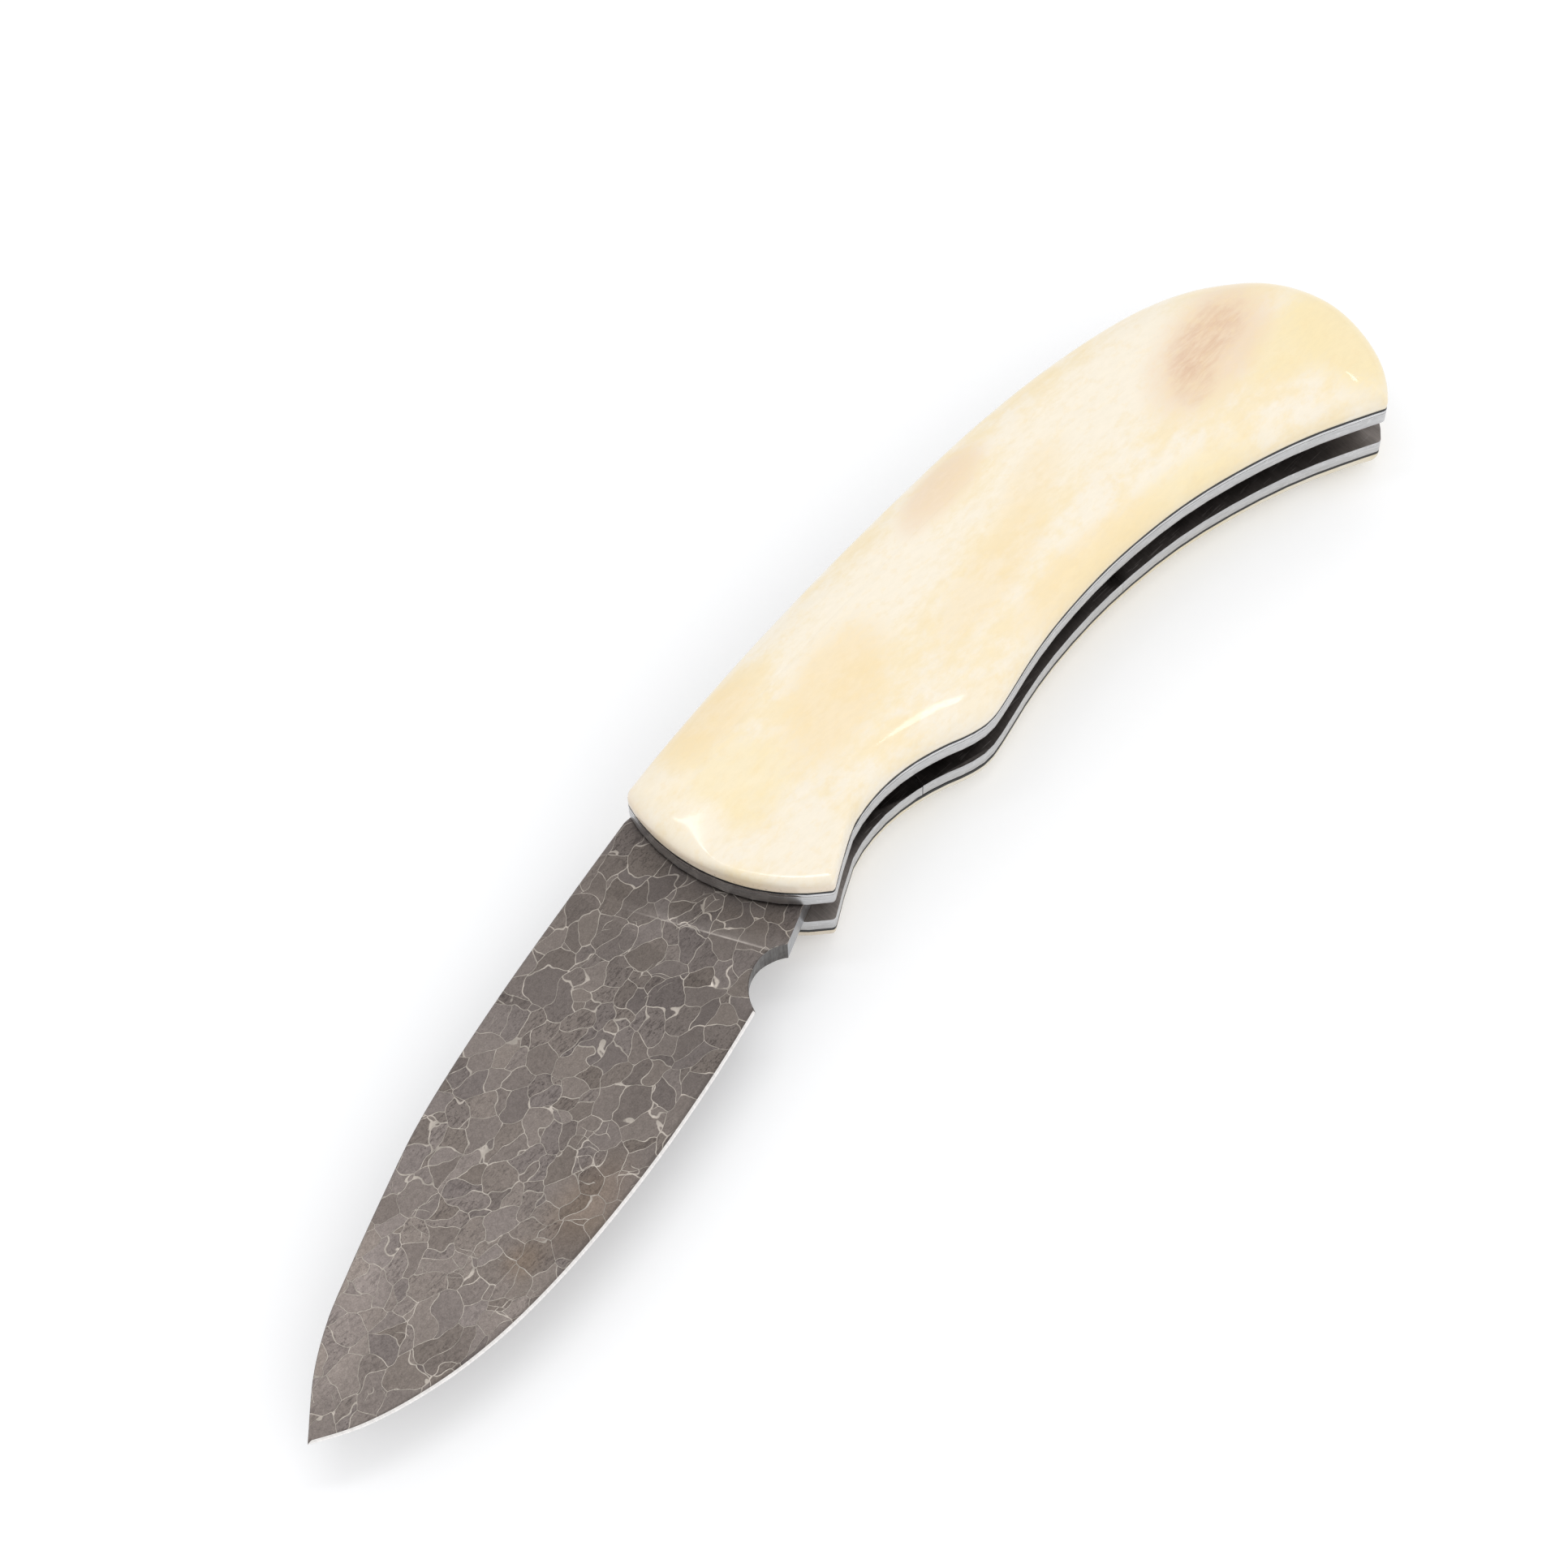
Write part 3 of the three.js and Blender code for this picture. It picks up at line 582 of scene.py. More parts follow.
def makeBevelSteel():
    setup = bevelSetup
    material, tree, shader = newMaterial(
        "sharpenedEdgeSteel", setup["color"], setup["roughness"][0], 1.0,
    )
    grain = brushed(tree, setup)
    color = shade(tree, setup["color"], spread(tree, grain["Streaks"], *setup["tone"]))
    roughness = spread(tree, grain["Smudges"], 0.0, 1.0, *setup["roughness"])
    dress(tree, shader, color, roughness, bump(tree, grain["Streaks"], 0.004, 0.4))
    return material


# Brushed metals of the liners, spacer, pins and inserts

satinSetup = {
    "satinSteel": {
        "color": (0.56, 0.56, 0.565), "wornAndSheen": (0.78, 0.78, 0.79), "roughness": (0.32, 0.40),
        "brush": (0.10, 0.10, 1.0), "grain": {"Scale": 3.5, "Patches": 0.35}, "wearAndSheen": 0.5,
    },
    "backingSteel": {
        "color": (0.66, 0.66, 0.67), "wornAndSheen": (0.85, 0.85, 0.86), "roughness": (0.20, 0.30),
        "brush": (0.10, 0.10, 1.0), "grain": {"Scale": 4.0, "Patches": 0.35}, "wearAndSheen": 0.5,
    },
    # painted shade: this dark steel stands in for the shade inside the handle
    "paintedShadeSteel": {
        "color": (0.075, 0.066, 0.062), "wornAndSheen": (0.30, 0.28, 0.27), "roughness": (0.40, 0.56),
        "brush": (1.0, 0.10, 0.4), "grain": {"Scale": 2.6, "Patches": 0.35}, "wearAndSheen": 0.5,
        # painted shade: the inner sides are painted dark, and painted lighter near the two open
        # ends of the handle, where less shade falls
        "lifted": (0.25, 0.225, 0.21), "lessShadedEnds": ((-10, 1), (-79, -88)),
    },
    "hardenedSteel": {
        "color": (0.50, 0.50, 0.51), "wornAndSheen": (0.76, 0.76, 0.77), "roughness": (0.22, 0.34),
        "brush": (1.0, 1.0, 0.15), "grain": {"Scale": 3.0, "Patches": 0.35}, "wearAndSheen": 0.7,
    },
    "phosphorBronze": {
        "color": (0.56, 0.33, 0.15), "wornAndSheen": (0.82, 0.58, 0.34), "roughness": (0.28, 0.42),
        "brush": (0.25, 1.0, 1.0), "grain": {"Scale": 2.5, "Patches": 0.35}, "wearAndSheen": 0.7,
    },
    "yellowBrass": {
        "color": (0.70, 0.50, 0.19), "wornAndSheen": (0.90, 0.74, 0.40), "roughness": (0.24, 0.38),
        "brush": (1.0, 1.0, 0.2), "grain": {"Scale": 2.5, "Patches": 0.35}, "wearAndSheen": 0.7,
    },
}


# what all of these metals have alike
metalSetup = {
    "streaks": (0.3, 0.7, 0.82, 1.12),
    "scratches": {"Scale": 0.5, "Density": 0.35},
    "wearAndSheen": {"Radius": 0.12, "Breakup": 1.2},
}


def makeBrushedMetal(name):
    setup = satinSetup[name]
    material, tree, shader = newMaterial(name, setup["color"], setup["roughness"][0], 1.0)
    grain = brushed(tree, setup)
    base = setup["color"]
    # painted shade lifted near the open ends
    if "lifted" in setup:
        along = split(tree, objectMillimetres(tree))[0]
        ends = [spread(tree, along, *end) for end in setup["lessShadedEnds"]]
        base = mixColor(tree, maths(tree, "MAXIMUM", *ends), base, setup["lifted"])
    color = shade(tree, base, spread(tree, grain["Streaks"], *metalSetup["streaks"]))
    scratches = placeGroup(tree, fineScratches, **metalSetup["scratches"])["Mask"]
    # edge wear, and a painted highlight along the edges
    wearAndSheen = placeGroup(tree, edgeWearAndSheen, **metalSetup["wearAndSheen"], Amount=setup["wearAndSheen"])["Mask"]
    color = mixColor(tree, maths(tree, "MAXIMUM", wearAndSheen, scratches), color, setup["wornAndSheen"])
    roughness = mixValue(tree, grain["Smudges"], *setup["roughness"])
    dress(tree, shader, color, roughness, bump(tree, grain["Streaks"], 0.012, 0.5))
    return material


# Black fibre of the thin spacers

fibreSetup = {
    "color": (0.010, 0.010, 0.011),
    "dustAndSheen": (0.045, 0.043, 0.042),
    "flecks": {"noise": (5.0, 4.0, 0.65), "between": (0.55, 0.80)},
    "fleckDepth": 0.5,
    "roughness": (0.58, 0.75),
    "wearAndSheen": {"Radius": 0.08, "Breakup": 1.5, "Amount": 0.4},
    "tooth": (6.0, 3.0, 0.6),
}


def makeFibre():
    setup = fibreSetup
    material, tree, shader = newMaterial("blackFibre", setup["color"], setup["roughness"][0])
    plain = objectMillimetres(tree)
    flecks = mottle(tree, plain, setup["flecks"])
    wearAndSheen = placeGroup(tree, edgeWearAndSheen, **setup["wearAndSheen"])["Mask"]
    # dust flecks, and the edges lightened as wear and painted edge highlight
    dustAndSheen = maths(tree, "MAXIMUM", times(tree, flecks, setup["fleckDepth"]), wearAndSheen)
    color = mixColor(tree, dustAndSheen, setup["color"], setup["dustAndSheen"])
    roughness = spread(tree, flecks, 0.0, 1.0, *setup["roughness"])
    tooth = noise(tree, plain, *setup["tooth"])
    dress(tree, shader, color, roughness, bump(tree, tooth, 0.01, 0.6))
    return material


# Polished ivory of the scales

ivorySetup = {
    "cream": (0.922, 0.788, 0.541),
    "pale": (0.927, 0.847, 0.704),
    "straw": (0.922, 0.777, 0.472),
    "amber": (0.912, 0.722, 0.421),
    "blush": (0.851, 0.666, 0.484),
    "stain": (0.677, 0.428, 0.287),
    # each tint: its middle, its reach along and across the handle, turn, color and depth; the tints
    # are natural, but for one pale patch that is partly painted highlight
    "tints": [
        ((-62, -8), (34, 9), 4, "pale", 0.95),
        ((-28, -9), (26, 9), 4, "pale", 0.95),
        ((3, 9), (12, 8), 0, "pale", 0.9),
        ((-71, -10), (13, 7), 10, "pale", 0.8),
        ((10, -10), (9, 6), 0, "pale", 0.6),
        ((-23, 9), (8, 4), 0, "pale", 0.6),
        ((-14, -3), (16, 8), 20, "amber", 0.60),
        ((-38, -1), (19, 5), 12, "amber", 0.42),
        ((-2, -11), (12, 5), 4, "amber", 0.60),
        ((-91, 7), (11, 14), -10, "straw", 0.9),
        ((-84, 3), (10, 7), 0, "straw", 0.75),
        ((2, -3), (11, 8), 0, "straw", 0.6),
        # partly painted highlight: this pale patch whitens the highlight at the front corner
        ((9.5, -2), (7, 8), 0, "pale", 0.8),
        ((-55, 8), (26, 6), 0, "straw", 0.7),
        ((-46, 6), (20, 5), 0, "amber", 0.45),
        ((-50, -6), (11, 4), 15, "amber", 0.35),
        ((-42, -13), (12, 4.5), 8, "blush", 0.70),
        ((-78, -3.6), (18, 9), 14, "blush", 0.75),
        ((-78.5, -4.5), (11, 5), 8, "stain", 0.48),
        ((-73, -1.5), (6, 4), 30, "stain", 0.34),
    ],
    "tintEdge": (0.08, 0.80),
    # clouds break up the outlines of the tints, and fine slanting fibres their insides
    "clouds": {"turn": 12, "stretch": (0.7, 1.1, 1.0), "noise": (0.20, 5.0, 0.62)},
    "fibres": {"turn": 25, "stretch": (0.55, 1.5, 1.0), "noise": (1.1, 5.0, 0.65, 0.3)},
    "cloudTint": (0.40, 0.62),
    "cloudShift": (0.25, 0.75, 0.70, 1.25),
    "fibreShift": (0.2, 0.8, -0.25, 0.25),
    "fibreTone": (0.25, 0.75, 0.975, 1.015),
    # wisps run through the stains only, and grains and pores are all over the scale
    "wisps": {"turn": 12, "stretch": (0.35, 1.6, 1.0), "noise": (0.9, 5.0, 0.7, 0.5)},
    "wispDepth": (0.30, 0.70, 0.25, 1.25),
    "grains": {"turn": -30, "stretch": (0.8, 1.3, 1.0), "noise": (0.9, 4.0, 0.6)},
    "grainDepth": (0.50, 0.68, 0.0, 0.22),
    "pores": {"noise": (2.6, 2.0, 0.5), "between": (0.71, 0.78, 0.0, 0.10)},
    # the upright edge: heights over its foot and depths of the tan and the specks at the front,
    # and of the painted shade next to the fibre all round
    "edgeFront": (-5, 2),
    "edgeTan": {"color": (0.78, 0.60, 0.46), "heights": (2.3, 0.4), "depth": 0.42},
    "edgeSpecks": {"color": (0.20, 0.12, 0.08), "heights": (1.2, 0.2), "depth": 0.55},
    "paintedFootShade": {"color": (0.60, 0.55, 0.43), "heights": (0.5, 0.0), "depth": 0.4},
    "specks": {"noise": (2.4, 3.0, 0.65), "between": (0.60, 0.68)},
    # the polish is a little duller at the front, where the thumb rests
    "polish": {"noise": (0.3, 4.0, 0.6), "between": (0.3, 0.7, 0.06, 0.12)},
    "dullZone": {"at": (9, -2.5), "reach": (7, 7), "turn": 0, "roughness": 0.075},
    "ripple": (0.35, 2.0, 0.4),
}


def drawnNoise(tree, look):
    return noise(tree, objectMillimetres(tree, look["turn"], look["stretch"]), *look["noise"])


def ivoryTints(tree, plain):
    setup = ivorySetup
    clouds, fibres = drawnNoise(tree, setup["clouds"]), drawnNoise(tree, setup["fibres"])
    shift = spread(tree, clouds, *setup["cloudShift"])
    shift = maths(tree, "ADD", shift, spread(tree, fibres, *setup["fibreShift"]))
    wisps = spread(tree, drawnNoise(tree, setup["wisps"]), *setup["wispDepth"])
    pale = spread(tree, clouds, *setup["cloudTint"])
    color = mixColor(tree, pale, setup["cream"], setup["pale"])
    for at, reach, turn, tint, depth in setup["tints"]:
        patch = spot(tree, plain, {"at": at, "reach": reach, "turn": turn})
        amount = times(tree, spread(tree, times(tree, patch, shift), *setup["tintEdge"]), depth)
        if tint == "stain":
            amount = times(tree, amount, wisps)
        color = mixColor(tree, amount, color, setup[tint])
    grains = spread(tree, drawnNoise(tree, setup["grains"]), *setup["grainDepth"])
    color = mixColor(tree, grains, color, setup["amber"])
    color = shade(tree, color, spread(tree, fibres, *setup["fibreTone"]))
    return mixColor(tree, mottle(tree, plain, setup["pores"]), color, setup["stain"])


def ivoryEdge(tree, plain, color):
    setup = ivorySetup
    places = split(tree, plain)
    front = spread(tree, places[0], *setup["edgeFront"])
    masks = {}
    for name in ("edgeTan", "edgeSpecks", "paintedFootShade"):
        heights = [layers["show_scale"][0] + height for height in setup[name]["heights"]]
        masks[name] = spread(tree, places[2], *heights)
    masks["edgeTan"] = times(tree, masks["edgeTan"], front)
    specks = mottle(tree, plain, setup["specks"])
    masks["edgeSpecks"] = times(tree, masks["edgeSpecks"], specks, masks["edgeTan"])
    for name, mask in masks.items():
        amount = times(tree, mask, setup[name]["depth"])
        color = mixColor(tree, amount, color, setup[name]["color"])
    return color


def makeIvory():
    setup = ivorySetup
    polish, dull = setup["polish"], setup["dullZone"]
    material, tree, shader = newMaterial("polishedIvory", setup["cream"], polish["between"][3])
    plain = objectMillimetres(tree)
    color = ivoryEdge(tree, plain, ivoryTints(tree, plain))
    lifted = times(tree, spot(tree, plain, dull), dull["roughness"])
    roughness = maths(tree, "ADD", mottle(tree, plain, polish), lifted)
    ripple = noise(tree, plain, *setup["ripple"])
    dress(tree, shader, color, roughness, bump(tree, ripple, 0.015, 0.5))
    return material


# Mesh helpers

weld = {"node": 0.002, "skin": 0.0005, "mirror": 0.0002}  # points this close become one


def splinePoint(knots, share):
    place = (len(knots) - 1) * share
    start = min(int(place), len(knots) - 2)
    weight = place - start
    before = knots[max(start - 1, 0)]
    first, second = knots[start], knots[start + 1]
    after = knots[min(start + 2, len(knots) - 1)]
    point = []
    for a, b, c, d in zip(before, first, second, after):
        tangentIn, tangentOut = (c - a) / 2, (d - b) / 2
        cubic = 2 * b - 2 * c + tangentIn + tangentOut
        square = -3 * b + 3 * c - 2 * tangentIn - tangentOut
        point.append(((cubic * weight + square) * weight + tangentIn) * weight + b)
    return Vector(point)


def gridSkin(rows):
    bm = bmesh.new()
    bmesh.ops.create_grid(bm, x_segments=len(rows[0]) - 1, y_segments=len(rows) - 1, size=1)
    bm.verts.ensure_lookup_table()
    for vert, place in zip(bm.verts, [point for row in rows for point in row]):
        vert.co = place
    return bm


def closeHoles(bm):
    bmesh.ops.holes_fill(bm, edges=[e for e in bm.edges if e.is_boundary], sides=0)


def copyOfNode(name):
    bm = bmesh.new()
    bm.from_mesh(cadNodes[name].data)
    bmesh.ops.scale(bm, vec=(1 / mm, 1 / mm, 1 / mm), verts=bm.verts)
    bmesh.ops.remove_doubles(bm, verts=bm.verts, dist=weld["node"])
    return bm


def finishPiece(name, bm, body, replaced, finishes, sharpAngle):
    mesh = bpy.data.meshes.new(name)
    bm.to_mesh(mesh)
    bm.free()
    mesh.transform(Matrix.Scale(mm, 4))
    mesh.shade_smooth()
    mesh.set_sharp_from_angle(angle=math.radians(sharpAngle))
    for material in finishes:
        mesh.materials.append(material)
    piece = addObject(name, mesh)
    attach(piece, body)
    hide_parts(replaced)
    return piece


# Scales. Their outline is that of the flat layer under the show scale.

scaleShape = {
    # each edge: height of its upright wall, reach of the rounding, rise and reach of the crown
    "edges": {
        "belly": (0.8, 2.6, 1.3, 7.0),
        "spine": (0.6, 5.6, 0.4, 10.0),
        "corner": (0.8, 2.6, 0.6, 6.0),
        "front": (1.3, 0.65, 0.15, 1.6),
    },
    # each zone has a start along x or y or both, and the way from there to its full effect
    "spineZone": {"y": (-5.0, -8.0)},
    "cornerZone": {"x": (-4.0, 6.5), "y": (-9.0, 5.0)},
    "frontZone": {"x": (-12.0, 9.0), "y": (-3.8, 7.0)},
    # the top falls toward the nose, and more so at the belly side of the front
    "noseDrop": 0.45,
    "noseZone": {"x": (-14.0, 24.0)},
    "cornerDrop": 0.85,
    "cornerDropZone": {"x": (-10.0, 13.0), "y": (-6.8, 8.0)},
    # the back scale has a low wall all round, and a rounder nose
    "backWall": 0.25,
    "backNoseRounding": 2.2,
    # rings follow the outline this far in, and a grid covers the rest
    "ringsEnd": 5.8,
    "spacing": 0.14,
    "roundingSteps": 12,
    "ringSteps": 6,
    "outlineSteps": 4,
    "easing": 14.0,  # the way inward is blended this far along the outline
    "capGrid": 1.0,
    "capMargin": 0.05,
    "cutSnap": 1e-5,
    "sharpAngle": 50,
}


def handleOutline():
    bm = copyOfNode("show_fibre_spacer")
    top = layers["show_fibre_spacer"][1]

    def isTop(vert):
        return abs(vert.co.z - top) < 0.01

    def isRim(edge):
        walled = any(abs(face.normal.z) < 0.5 for face in edge.link_faces)
        return walled and all(isTop(vert) for vert in edge.verts)

    start = min([v for v in bm.verts if isTop(v)], key=lambda v: v.co.x)
    loop, last = [start], None
    while True:
        here = loop[-1]
        following = [e.other_vert(here) for e in here.link_edges if isRim(e)]
        following = [v for v in following if v is not last]
        if last is None:
            following.sort(key=lambda v: v.co.y)
        last = here
        if following[0] is start:
            break
        loop.append(following[0])
    points = [Vector((v.co.x, v.co.y)) for v in loop]
    bm.free()
    return points


def closedSpline(points, steps):
    run = []
    count = len(points)
    for i in range(count):
        knots = [points[(i + k) % count] for k in (-1, 0, 1, 2)]
        for k in range(steps):
            run.append(splinePoint(knots, (1 + k / steps) / 3))
    return run


def inwardWays(points, easing):
    count = len(points)
    ways = [points[(i + 1) % count] - points[i - 1] for i in range(count)]
    along = [0.0]
    for i in range(count):
        along.append(along[-1] + (points[(i + 1) % count] - points[i]).length)
    around = along.pop()
    inward = []
    for i in range(count):
        blended = Vector((0, 0))
        for k, way in enumerate(ways):
            apart = abs(along[i] - along[k])
            weight = max(0, easing - min(apart, around - apart))
            blended += weight * Vector((-way.y, way.x))
        inward.append(blended.normalized())
    return inward


def eased(point, zone):
    effect = 1
    for axis, (start, way) in zone.items():
        share = min(max((point["xy".index(axis)] - start) / way, 0), 1)
        effect *= share * share * (3 - 2 * share)
    return effect


def scaleEdge(point):
    shape = scaleShape
    spine, corner, front = [
        eased(point, shape[zone]) for zone in ("spineZone", "cornerZone", "frontZone")
    ]
    values = []
    for belly, back, turn, nose in zip(*shape["edges"].values()):
        side = belly + (back - belly) * spine
        side += (turn - side) * corner
        values.append(side + (nose - side) * front)
    return values


def scaleHeight(depth, edge, place, thickness):
    shape = scaleShape
    wall, rounding, crown, crownReach = edge
    drop = shape["noseDrop"] * eased(place, shape["noseZone"])
    drop += shape["cornerDrop"] * eased(place, shape["cornerDropZone"])
    side = 1 - min(depth / rounding, 1)
    dome = 1 - min(depth / crownReach, 1)
    top = thickness - crown - drop
    return wall + (top - wall) * math.sqrt(1 - side * side) + crown * (1 - dome * dome)


# The rings leave one large face in the middle, which is cut into a grid and raised to the crown.
def raiseCap(bm, ring, edges, thickness):
    shape = scaleShape
    cap = [f for f in bm.faces if len(f.verts) > 4 and f.calc_center_median().z > thickness / 2]
    parts = cap + list({e for f in cap for e in f.edges}) + list({v for f in cap for v in f.verts})
    for axis in (0, 1):
        reach = [point[axis] for point in ring]
        cut = min(reach) + shape["capGrid"] / 2
        while cut < max(reach):
            place, normal = Vector((0, 0, 0)), Vector((0, 0, 0))
            place[axis], normal[axis] = cut, 1
            result = bmesh.ops.bisect_plane(
                bm, geom=parts, plane_co=place, plane_no=normal, dist=shape["cutSnap"],
            )
            parts = result["geom"]
            cut += shape["capGrid"]
    for vert in [part for part in parts if isinstance(part, bmesh.types.BMVert)]:
        here = vert.co.xy
        away, nearest = min(((here - point.xy).length, i) for i, point in enumerate(ring))
        if away > shape["capMargin"]:
            vert.co.z = scaleHeight(shape["ringsEnd"] + away, edges[nearest], here, thickness)


def makeScale(name, material):
    shape = scaleShape
    low, high = layers[name]
    thickness = high - low
    outline = []
    for point in closedSpline(handleOutline(), shape["outlineSteps"]):
        if not outline or (point - outline[-1]).length > shape["spacing"]:
            outline.append(point)
    inward = inwardWays(outline, shape["easing"])
    steps = shape["roundingSteps"]
    edges = [scaleEdge(point) for point in outline]
    if name == "back_scale":
        for edge in edges:
            edge[:2] = shape["backWall"], max(edge[1], shape["backNoseRounding"])

    def ringAt(step):
        ring = []
        for point, way, edge in zip(outline, inward, edges):
            depth = edge[1] * (1 - math.cos(math.pi / 2 * min(step / steps, 1)))
            depth += max(step - steps, 0) * (shape["ringsEnd"] - edge[1]) / shape["ringSteps"]
            place = point + way * depth
            ring.append((*place, scaleHeight(depth, edge, place, thickness)))
        return ring + ring[:1]

    rows = [[(*point, 0) for point in outline + outline[:1]]]
    rows += [ringAt(step) for step in range(steps + shape["ringSteps"] + 1)]
    bm = gridSkin(rows)
    bmesh.ops.remove_doubles(bm, verts=bm.verts, dist=weld["skin"])
    closeHoles(bm)
    raiseCap(bm, [Vector(place) for place in rows[-1][:-1]], edges, thickness)
    if name == "back_scale":
        bmesh.ops.scale(bm, vec=(1, 1, -1), verts=bm.verts)
        bmesh.ops.translate(bm, vec=(0, 0, high), verts=bm.verts)
    else:
        bmesh.ops.translate(bm, vec=(0, 0, low), verts=bm.verts)
    bmesh.ops.recalc_face_normals(bm, faces=bm.faces)
    return finishPiece("dressed_" + name, bm, "handle", name, [material], shape["sharpAngle"])


# Blade

bladeShape = {
    "tip": (85.7, 15.9),
    "edgeKnots": [
        (17.9, 15.1), (27.5, 17.6), (38.6, 19.9), (50, 21.5), (60, 22.1),
        (68, 21.7), (75, 20.4), (80.8, 18.5),
    ],
    "spineKnots": [
        (80.3, 11.0), (75.2, 7.7), (70, 5.3), (62, 1.9), (54, -1.3),
        (45.7, -3.8), (35, -6.5), (23, -9.15), (11.7, -11.5),
    ],
    "choilCentre": (13.1, 16.2),
    "choilCorner": (10, 12.4),
    # the seam inside the handle, where the skin of the blade meets the tang of the frame
    "seamLow": (4.0, 9.85),
    "seamHigh": (8.5, -11.45),
    "plungeLow": (11.2, 12.9),
    "plungeShare": 0.903,  # how far from tip to root the plunge line meets the spine
    "plungeReach": 9.0,
    "plungePower": 1.2,
    "heelShare": 26 / 27,  # and the heel's row, as a share of that
    "tipShare": 0.9985,
    "edgeHalf": 0.06,
    "shoulderHalf": 0.35,
    "bevelWidth": 0.29,
    "chamfer": 0.14,
    # near the tip, the largest shares of the blade's width that the bevel and the chamfer take
    "bevelShare": 0.4,
    "chamferShare": 1 / 8,
    "tangSteps": 6,
    "choilSteps": 12,
    "plungeSteps": 30,
    "edgeSteps": 90,
    "acrossSteps": 34,
    "sharpAngle": 28,
}


def circleCrossing(start, way, centre, radius):
    offset = start - centre
    along = offset.dot(way)
    return -along + math.sqrt(along * along - offset.length_squared + radius * radius)


# A station is a row across the blade: its low and high ends, how far its low end lies past the
# line from plunge to heel, and whether its face is ground.
def bladeStations():
    shape = bladeShape
    spine = [shape["tip"]] + shape["spineKnots"]
    edge = shape["edgeKnots"] + [shape["tip"]]
    centre, corner = Vector(shape["choilCentre"]), Vector(shape["choilCorner"])
    plungeLow, heel = Vector(shape["plungeLow"]), Vector(edge[0])
    plungeShare, heelShare = shape["plungeShare"], shape["heelShare"]
    radius = (corner - centre).length
    way = (splinePoint(spine, plungeShare) - plungeLow).normalized()
    crossing = plungeLow + way * circleCrossing(plungeLow, way, centre, radius)
    stations = []
    # from the seam forward along the tang's lower edge, then round the choil
    seamLow, seamHigh, root = Vector(shape["seamLow"]), Vector(shape["seamHigh"]), Vector(spine[-1])
    for i in range(shape["tangSteps"]):
        share = i / shape["tangSteps"]
        stations.append((seamLow.lerp(corner, share), seamHigh.lerp(root, share), 0, False))
    cornerAngle = math.atan2(*(corner - centre).yx)
    crossAngle = math.atan2(*(crossing - centre).yx)
    for i in range(shape["choilSteps"]):
        share = i / shape["choilSteps"]
        angle = cornerAngle + (crossAngle - cornerAngle) * share
        low = centre + radius * Vector((math.cos(angle), math.sin(angle)))
        high = splinePoint(spine, 1 - (1 - plungeShare) * share)
        stations.append((low, high, 0, False))
    # past the plunge line: the ground face starts at a line from the plunge to the heel
    for i in range(shape["plungeSteps"] + 1):
        share = i / shape["plungeSteps"]
        start = plungeLow.lerp(heel, share)
        high = splinePoint(spine, plungeShare * (1 - share * (1 - heelShare)))
        toward = (high - start).normalized()
        reach = circleCrossing(start, toward, centre, radius) if share < 1 else 0
        stations.append((start + toward * reach, high, reach, True))
    for i in range(1, shape["edgeSteps"] + 1):
        share = min(i / shape["edgeSteps"], shape["tipShare"])
        high = splinePoint(spine, plungeShare * heelShare * (1 - share))
        stations.append((splinePoint(edge, share), high, 0, True))
    return stations, plungeLow, way


def bladeRows(half):
    shape = bladeShape
    stations, plungeLow, plungeWay = bladeStations()
    across = Vector((-plungeWay.y, plungeWay.x))
    if across.x < 0:
        across = -across
    heelOff = (Vector(shape["edgeKnots"][0]) - plungeLow).dot(across)
    widest = max((low - high).length + reach for low, high, reach, ground in stations if ground)
    bevelWidth, edgeHalf, shoulderHalf = [
        shape[key] for key in ("bevelWidth", "edgeHalf", "shoulderHalf")
    ]
    slope = (half - shoulderHalf) / (widest - bevelWidth)

    def halfThickness(point, distance):
        if distance < bevelWidth:
            thick = edgeHalf + (shoulderHalf - edgeHalf) * distance / bevelWidth
        else:
            thick = shoulderHalf + slope * (distance - bevelWidth)
        off = max((point - plungeLow).dot(across), 0)
        reach = max(min(shape["plungeReach"] * (half - thick) / half, heelOff), 0.01)
        if off < reach:
            thick += (half - thick) * (1 - off / reach) ** shape["plungePower"]
        return min(thick, half)

    rows, sharpened = [], []
    for start, end, reach, ground in stations:
        width = (end - start).length
        way = (end - start) / width
        isEdge = ground and reach == 0
        chamfer = min(shape["chamfer"], width * shape["chamferShare"])
        bevel = min(bevelWidth, width * shape["bevelShare"]) if isEdge else 2 * chamfer
        step = (width - chamfer - bevel) / shape["acrossSteps"]
        inner = [bevel + step * k for k in range(shape["acrossSteps"] + 1)]
        row = [(*start, 0)]
        for distance in [0, chamfer] + inner + [width]:
            point = start + way * distance
            thick = halfThickness(point, distance + reach) if ground else half
            if distance == width or (distance == 0 and not isEdge):
                thick -= min(chamfer, thick / 3)
            row.append((*point, thick))
        rows.append(row + [(*end, 0)])
        sharpened.append(isEdge)
    return rows, sharpened


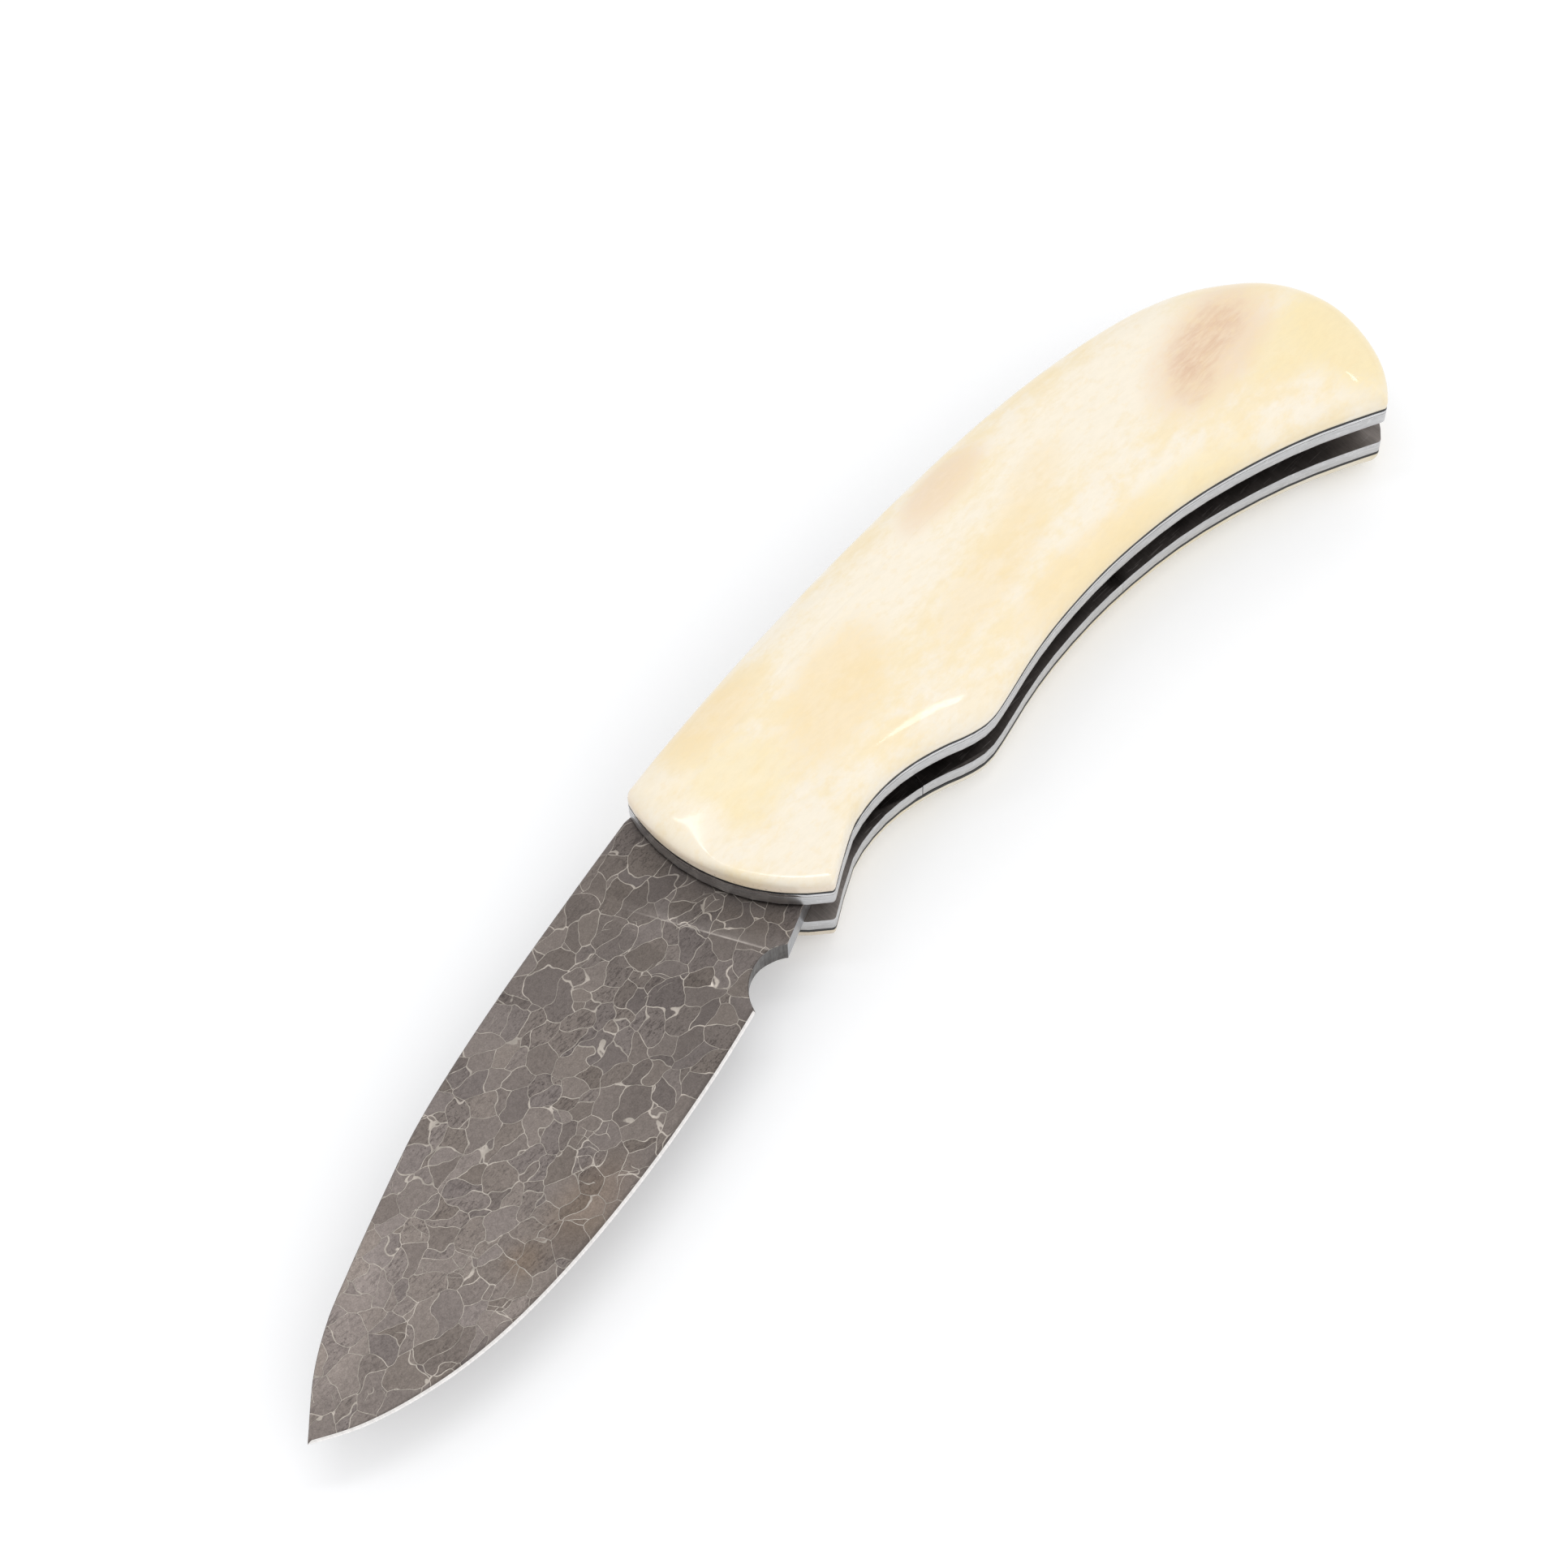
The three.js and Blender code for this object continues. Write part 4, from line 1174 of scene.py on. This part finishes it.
# Slots: 0 the etched flats, 1 the walls, 2 the sharpened bevel. A row's points 0 to 3 run from
# the edge to the bevel's shoulder, and its last two are the wall of the spine.
def bladeSkin():
    low, high = layers["blade"]
    rows, sharpened = bladeRows((high - low) / 2)
    bm = gridSkin(rows)
    columns = len(rows[0])
    for face in bm.faces:
        places = [divmod(vert.index, columns) for vert in face.verts]
        last = max(column for row, column in places)
        if last <= 3 and all(sharpened[row] for row, column in places):
            face.material_index = 2
        elif last in (1, columns - 1):
            face.material_index = 1
    everything = bm.verts[:] + bm.edges[:] + bm.faces[:]
    bmesh.ops.mirror(bm, geom=everything, axis="Z", merge_dist=weld["mirror"])
    bmesh.ops.remove_doubles(bm, verts=bm.verts, dist=weld["mirror"])
    closeHoles(bm)
    bmesh.ops.recalc_face_normals(bm, faces=bm.faces)
    bmesh.ops.translate(bm, vec=(0, 0, (low + high) / 2), verts=bm.verts)
    skin = bpy.data.meshes.new("bladeSkin")
    bm.to_mesh(skin)
    bm.free()
    return skin


def makeBlade():
    shape = bladeShape
    # the tang, with its pivot bore and shoulders, is the rear part of the CAD blade
    bm = copyOfNode("blade")
    seamWay = Vector(shape["seamHigh"]) - Vector(shape["seamLow"])
    normal = Vector((-seamWay.y, seamWay.x, 0)).normalized()
    if normal.x < 0:
        normal = -normal
    bmesh.ops.bisect_plane(
        bm, geom=bm.verts[:] + bm.edges[:] + bm.faces[:],
        plane_co=(*shape["seamLow"], 0), plane_no=normal, clear_outer=True,
    )
    closeHoles(bm)
    for face in bm.faces:
        face.material_index = 1 if abs(face.normal.z) < 0.5 else 0
    skin = bladeSkin()
    bm.from_mesh(skin)
    bpy.data.meshes.remove(skin)
    finishes = [etchedSteel, groundSteel, bevelSteel]
    return finishPiece("dressed_blade", bm, "blade", "blade", finishes, shape["sharpAngle"])


# Liners, lock bar and spacer: the flat layers of the frame, with fine chamfers

layerShape = {
    "show_liner": {"chamfer": 0.14, "body": "handle", "wall": "satinSteel", "paintedShadeSide": 1},
    "lock_liner": {"chamfer": 0.12, "body": "handle", "wall": "satinSteel", "paintedShadeSide": 0},
    "lock_bar": {"chamfer": 0.12, "body": "lock_bar", "wall": "satinSteel", "paintedShadeSide": 0},
    "show_backing_plate": {
        "chamfer": 0.10, "body": "handle", "wall": "backingSteel", "paintedShadeSide": -1,
    },
    "back_spacer": {"chamfer": 0.10, "body": "handle", "wall": "satinSteel", "paintedShadeSide": 0},
}

# the cut round the lock bar is closed to a hairline: what lies within the limits in x and y
# moves along x, and stays sharp
closings = {
    "lock_liner": [
        {"x": (-52.5, -52.1), "y": (-1.3, 7.0), "shift": 0.27},
        {"x": (-16.8, -15.2), "y": (5.3, 8.5), "shift": -0.24},
    ],
    "lock_bar": [
        {"x": (-52.1, -51.9), "y": (-1.0, 7.0), "shift": 0},
        {"x": (-17.0, -15.5), "y": (5.0, 8.5), "shift": 0},
    ],
}

layerAngles = {"flat": 0.4, "corner": 40, "sharp": 30}


def makeLayer(name):
    setup = layerShape[name]
    bm = copyOfNode(name)
    closed = set()
    for cut in closings.get(name, []):
        (left, right), (near, far) = cut["x"], cut["y"]
        inside = [v for v in bm.verts if left < v.co.x < right and near < v.co.y < far]
        bmesh.ops.translate(bm, vec=(cut["shift"], 0, 0), verts=inside)
        closed.update(inside)
    bmesh.ops.dissolve_limit(
        bm, angle_limit=math.radians(layerAngles["flat"]), verts=bm.verts, edges=bm.edges,
        delimit={"NORMAL"},
    )
    corners = [
        e for e in bm.edges
        if len(e.link_faces) == 2 and e.calc_face_angle(0) > math.radians(layerAngles["corner"])
        and not (e.verts[0] in closed and e.verts[1] in closed)
    ]
    bmesh.ops.bevel(
        bm, geom=corners, offset=setup["chamfer"], offset_type="OFFSET", affect="EDGES",
        segments=2, profile=0.5, material=-1, clamp_overlap=True,
    )
    # painted shade: the flat sides inside the handle, and on one side the chamfers too, get the
    # dark steel
    for face in bm.faces:
        hidden = abs(face.normal.z) > 0.98 or face.normal.z * setup["paintedShadeSide"] > 0.2
        face.material_index = 1 if hidden else 0
    finishes = [metals[setup["wall"]], metals["paintedShadeSteel"]]
    return finishPiece("dressed_" + name, bm, setup["body"], name, finishes, layerAngles["sharp"])


# Floor

floorSetup = {"size": 6000, "color": (0.838, 0.844, 0.856), "roughness": 0.9, "cameraGlow": 0.205}


def makeFloor():
    setup = floorSetup
    bm = bmesh.new()
    bmesh.ops.create_grid(bm, x_segments=1, y_segments=1, size=setup["size"] * mm / 2)
    mesh = bpy.data.meshes.new("floor")
    bm.to_mesh(mesh)
    bm.free()
    material, tree, shader = newMaterial("floorPaper", setup["color"], setup["roughness"])
    feed(tree, shader.inputs["Specular IOR Level"], 0.0)
    path = addNode(tree, "LightPath")
    seen = maths(tree, "MAXIMUM", path.outputs["Is Camera Ray"], path.outputs["Is Glossy Ray"])
    seen = maths(tree, "MAXIMUM", seen, path.outputs["Is Transmission Ray"])
    feed(tree, shader.inputs["Emission Color"], (1, 1, 1))
    feed(tree, shader.inputs["Emission Strength"], times(tree, seen, setup["cameraGlow"]))
    mesh.materials.append(material)
    floor = addObject("floor", mesh)
    print("floor ready")


makeCamera()
makeLights()
makeFloor()

brushedGrain = makeBrushedGroup()
edgeWearAndSheen = makeEdgeWearAndSheenGroup()
fineScratches = makeScratchGroup()
metals = {name: makeBrushedMetal(name) for name in satinSetup}
ivory = makeIvory()
blackFibre = makeFibre()
etchedSteel = makeEtchedSteel()
groundSteel = makeGroundSteel()
bevelSteel = makeBevelSteel()
print("finishes ready")

makeScale("show_scale", ivory)
makeScale("back_scale", ivory)
print("scales ready")
makeBlade()
print("blade ready")
for layerName in layerShape:
    makeLayer(layerName)
print("liners ready")

# the nodes that no dressed piece replaces keep their shape: each name tells the finish
finishes = {
    "fibre": blackFibre,
    "washer": metals["phosphorBronze"],
    "insert": metals["yellowBrass"],
    "pin": metals["hardenedSteel"],
}
for nodeName, node in cadNodes.items():
    kind = next((key for key in finishes if key in nodeName), "pin")
    for slot in range(max(1, len(node.material_slots))):
        if not node.material_slots:
            node.data.materials.append(finishes[kind])
        node.material_slots[slot].material = finishes[kind]
print("hidden pieces ready")

bpy.context.scene.view_settings.view_transform = "Standard"
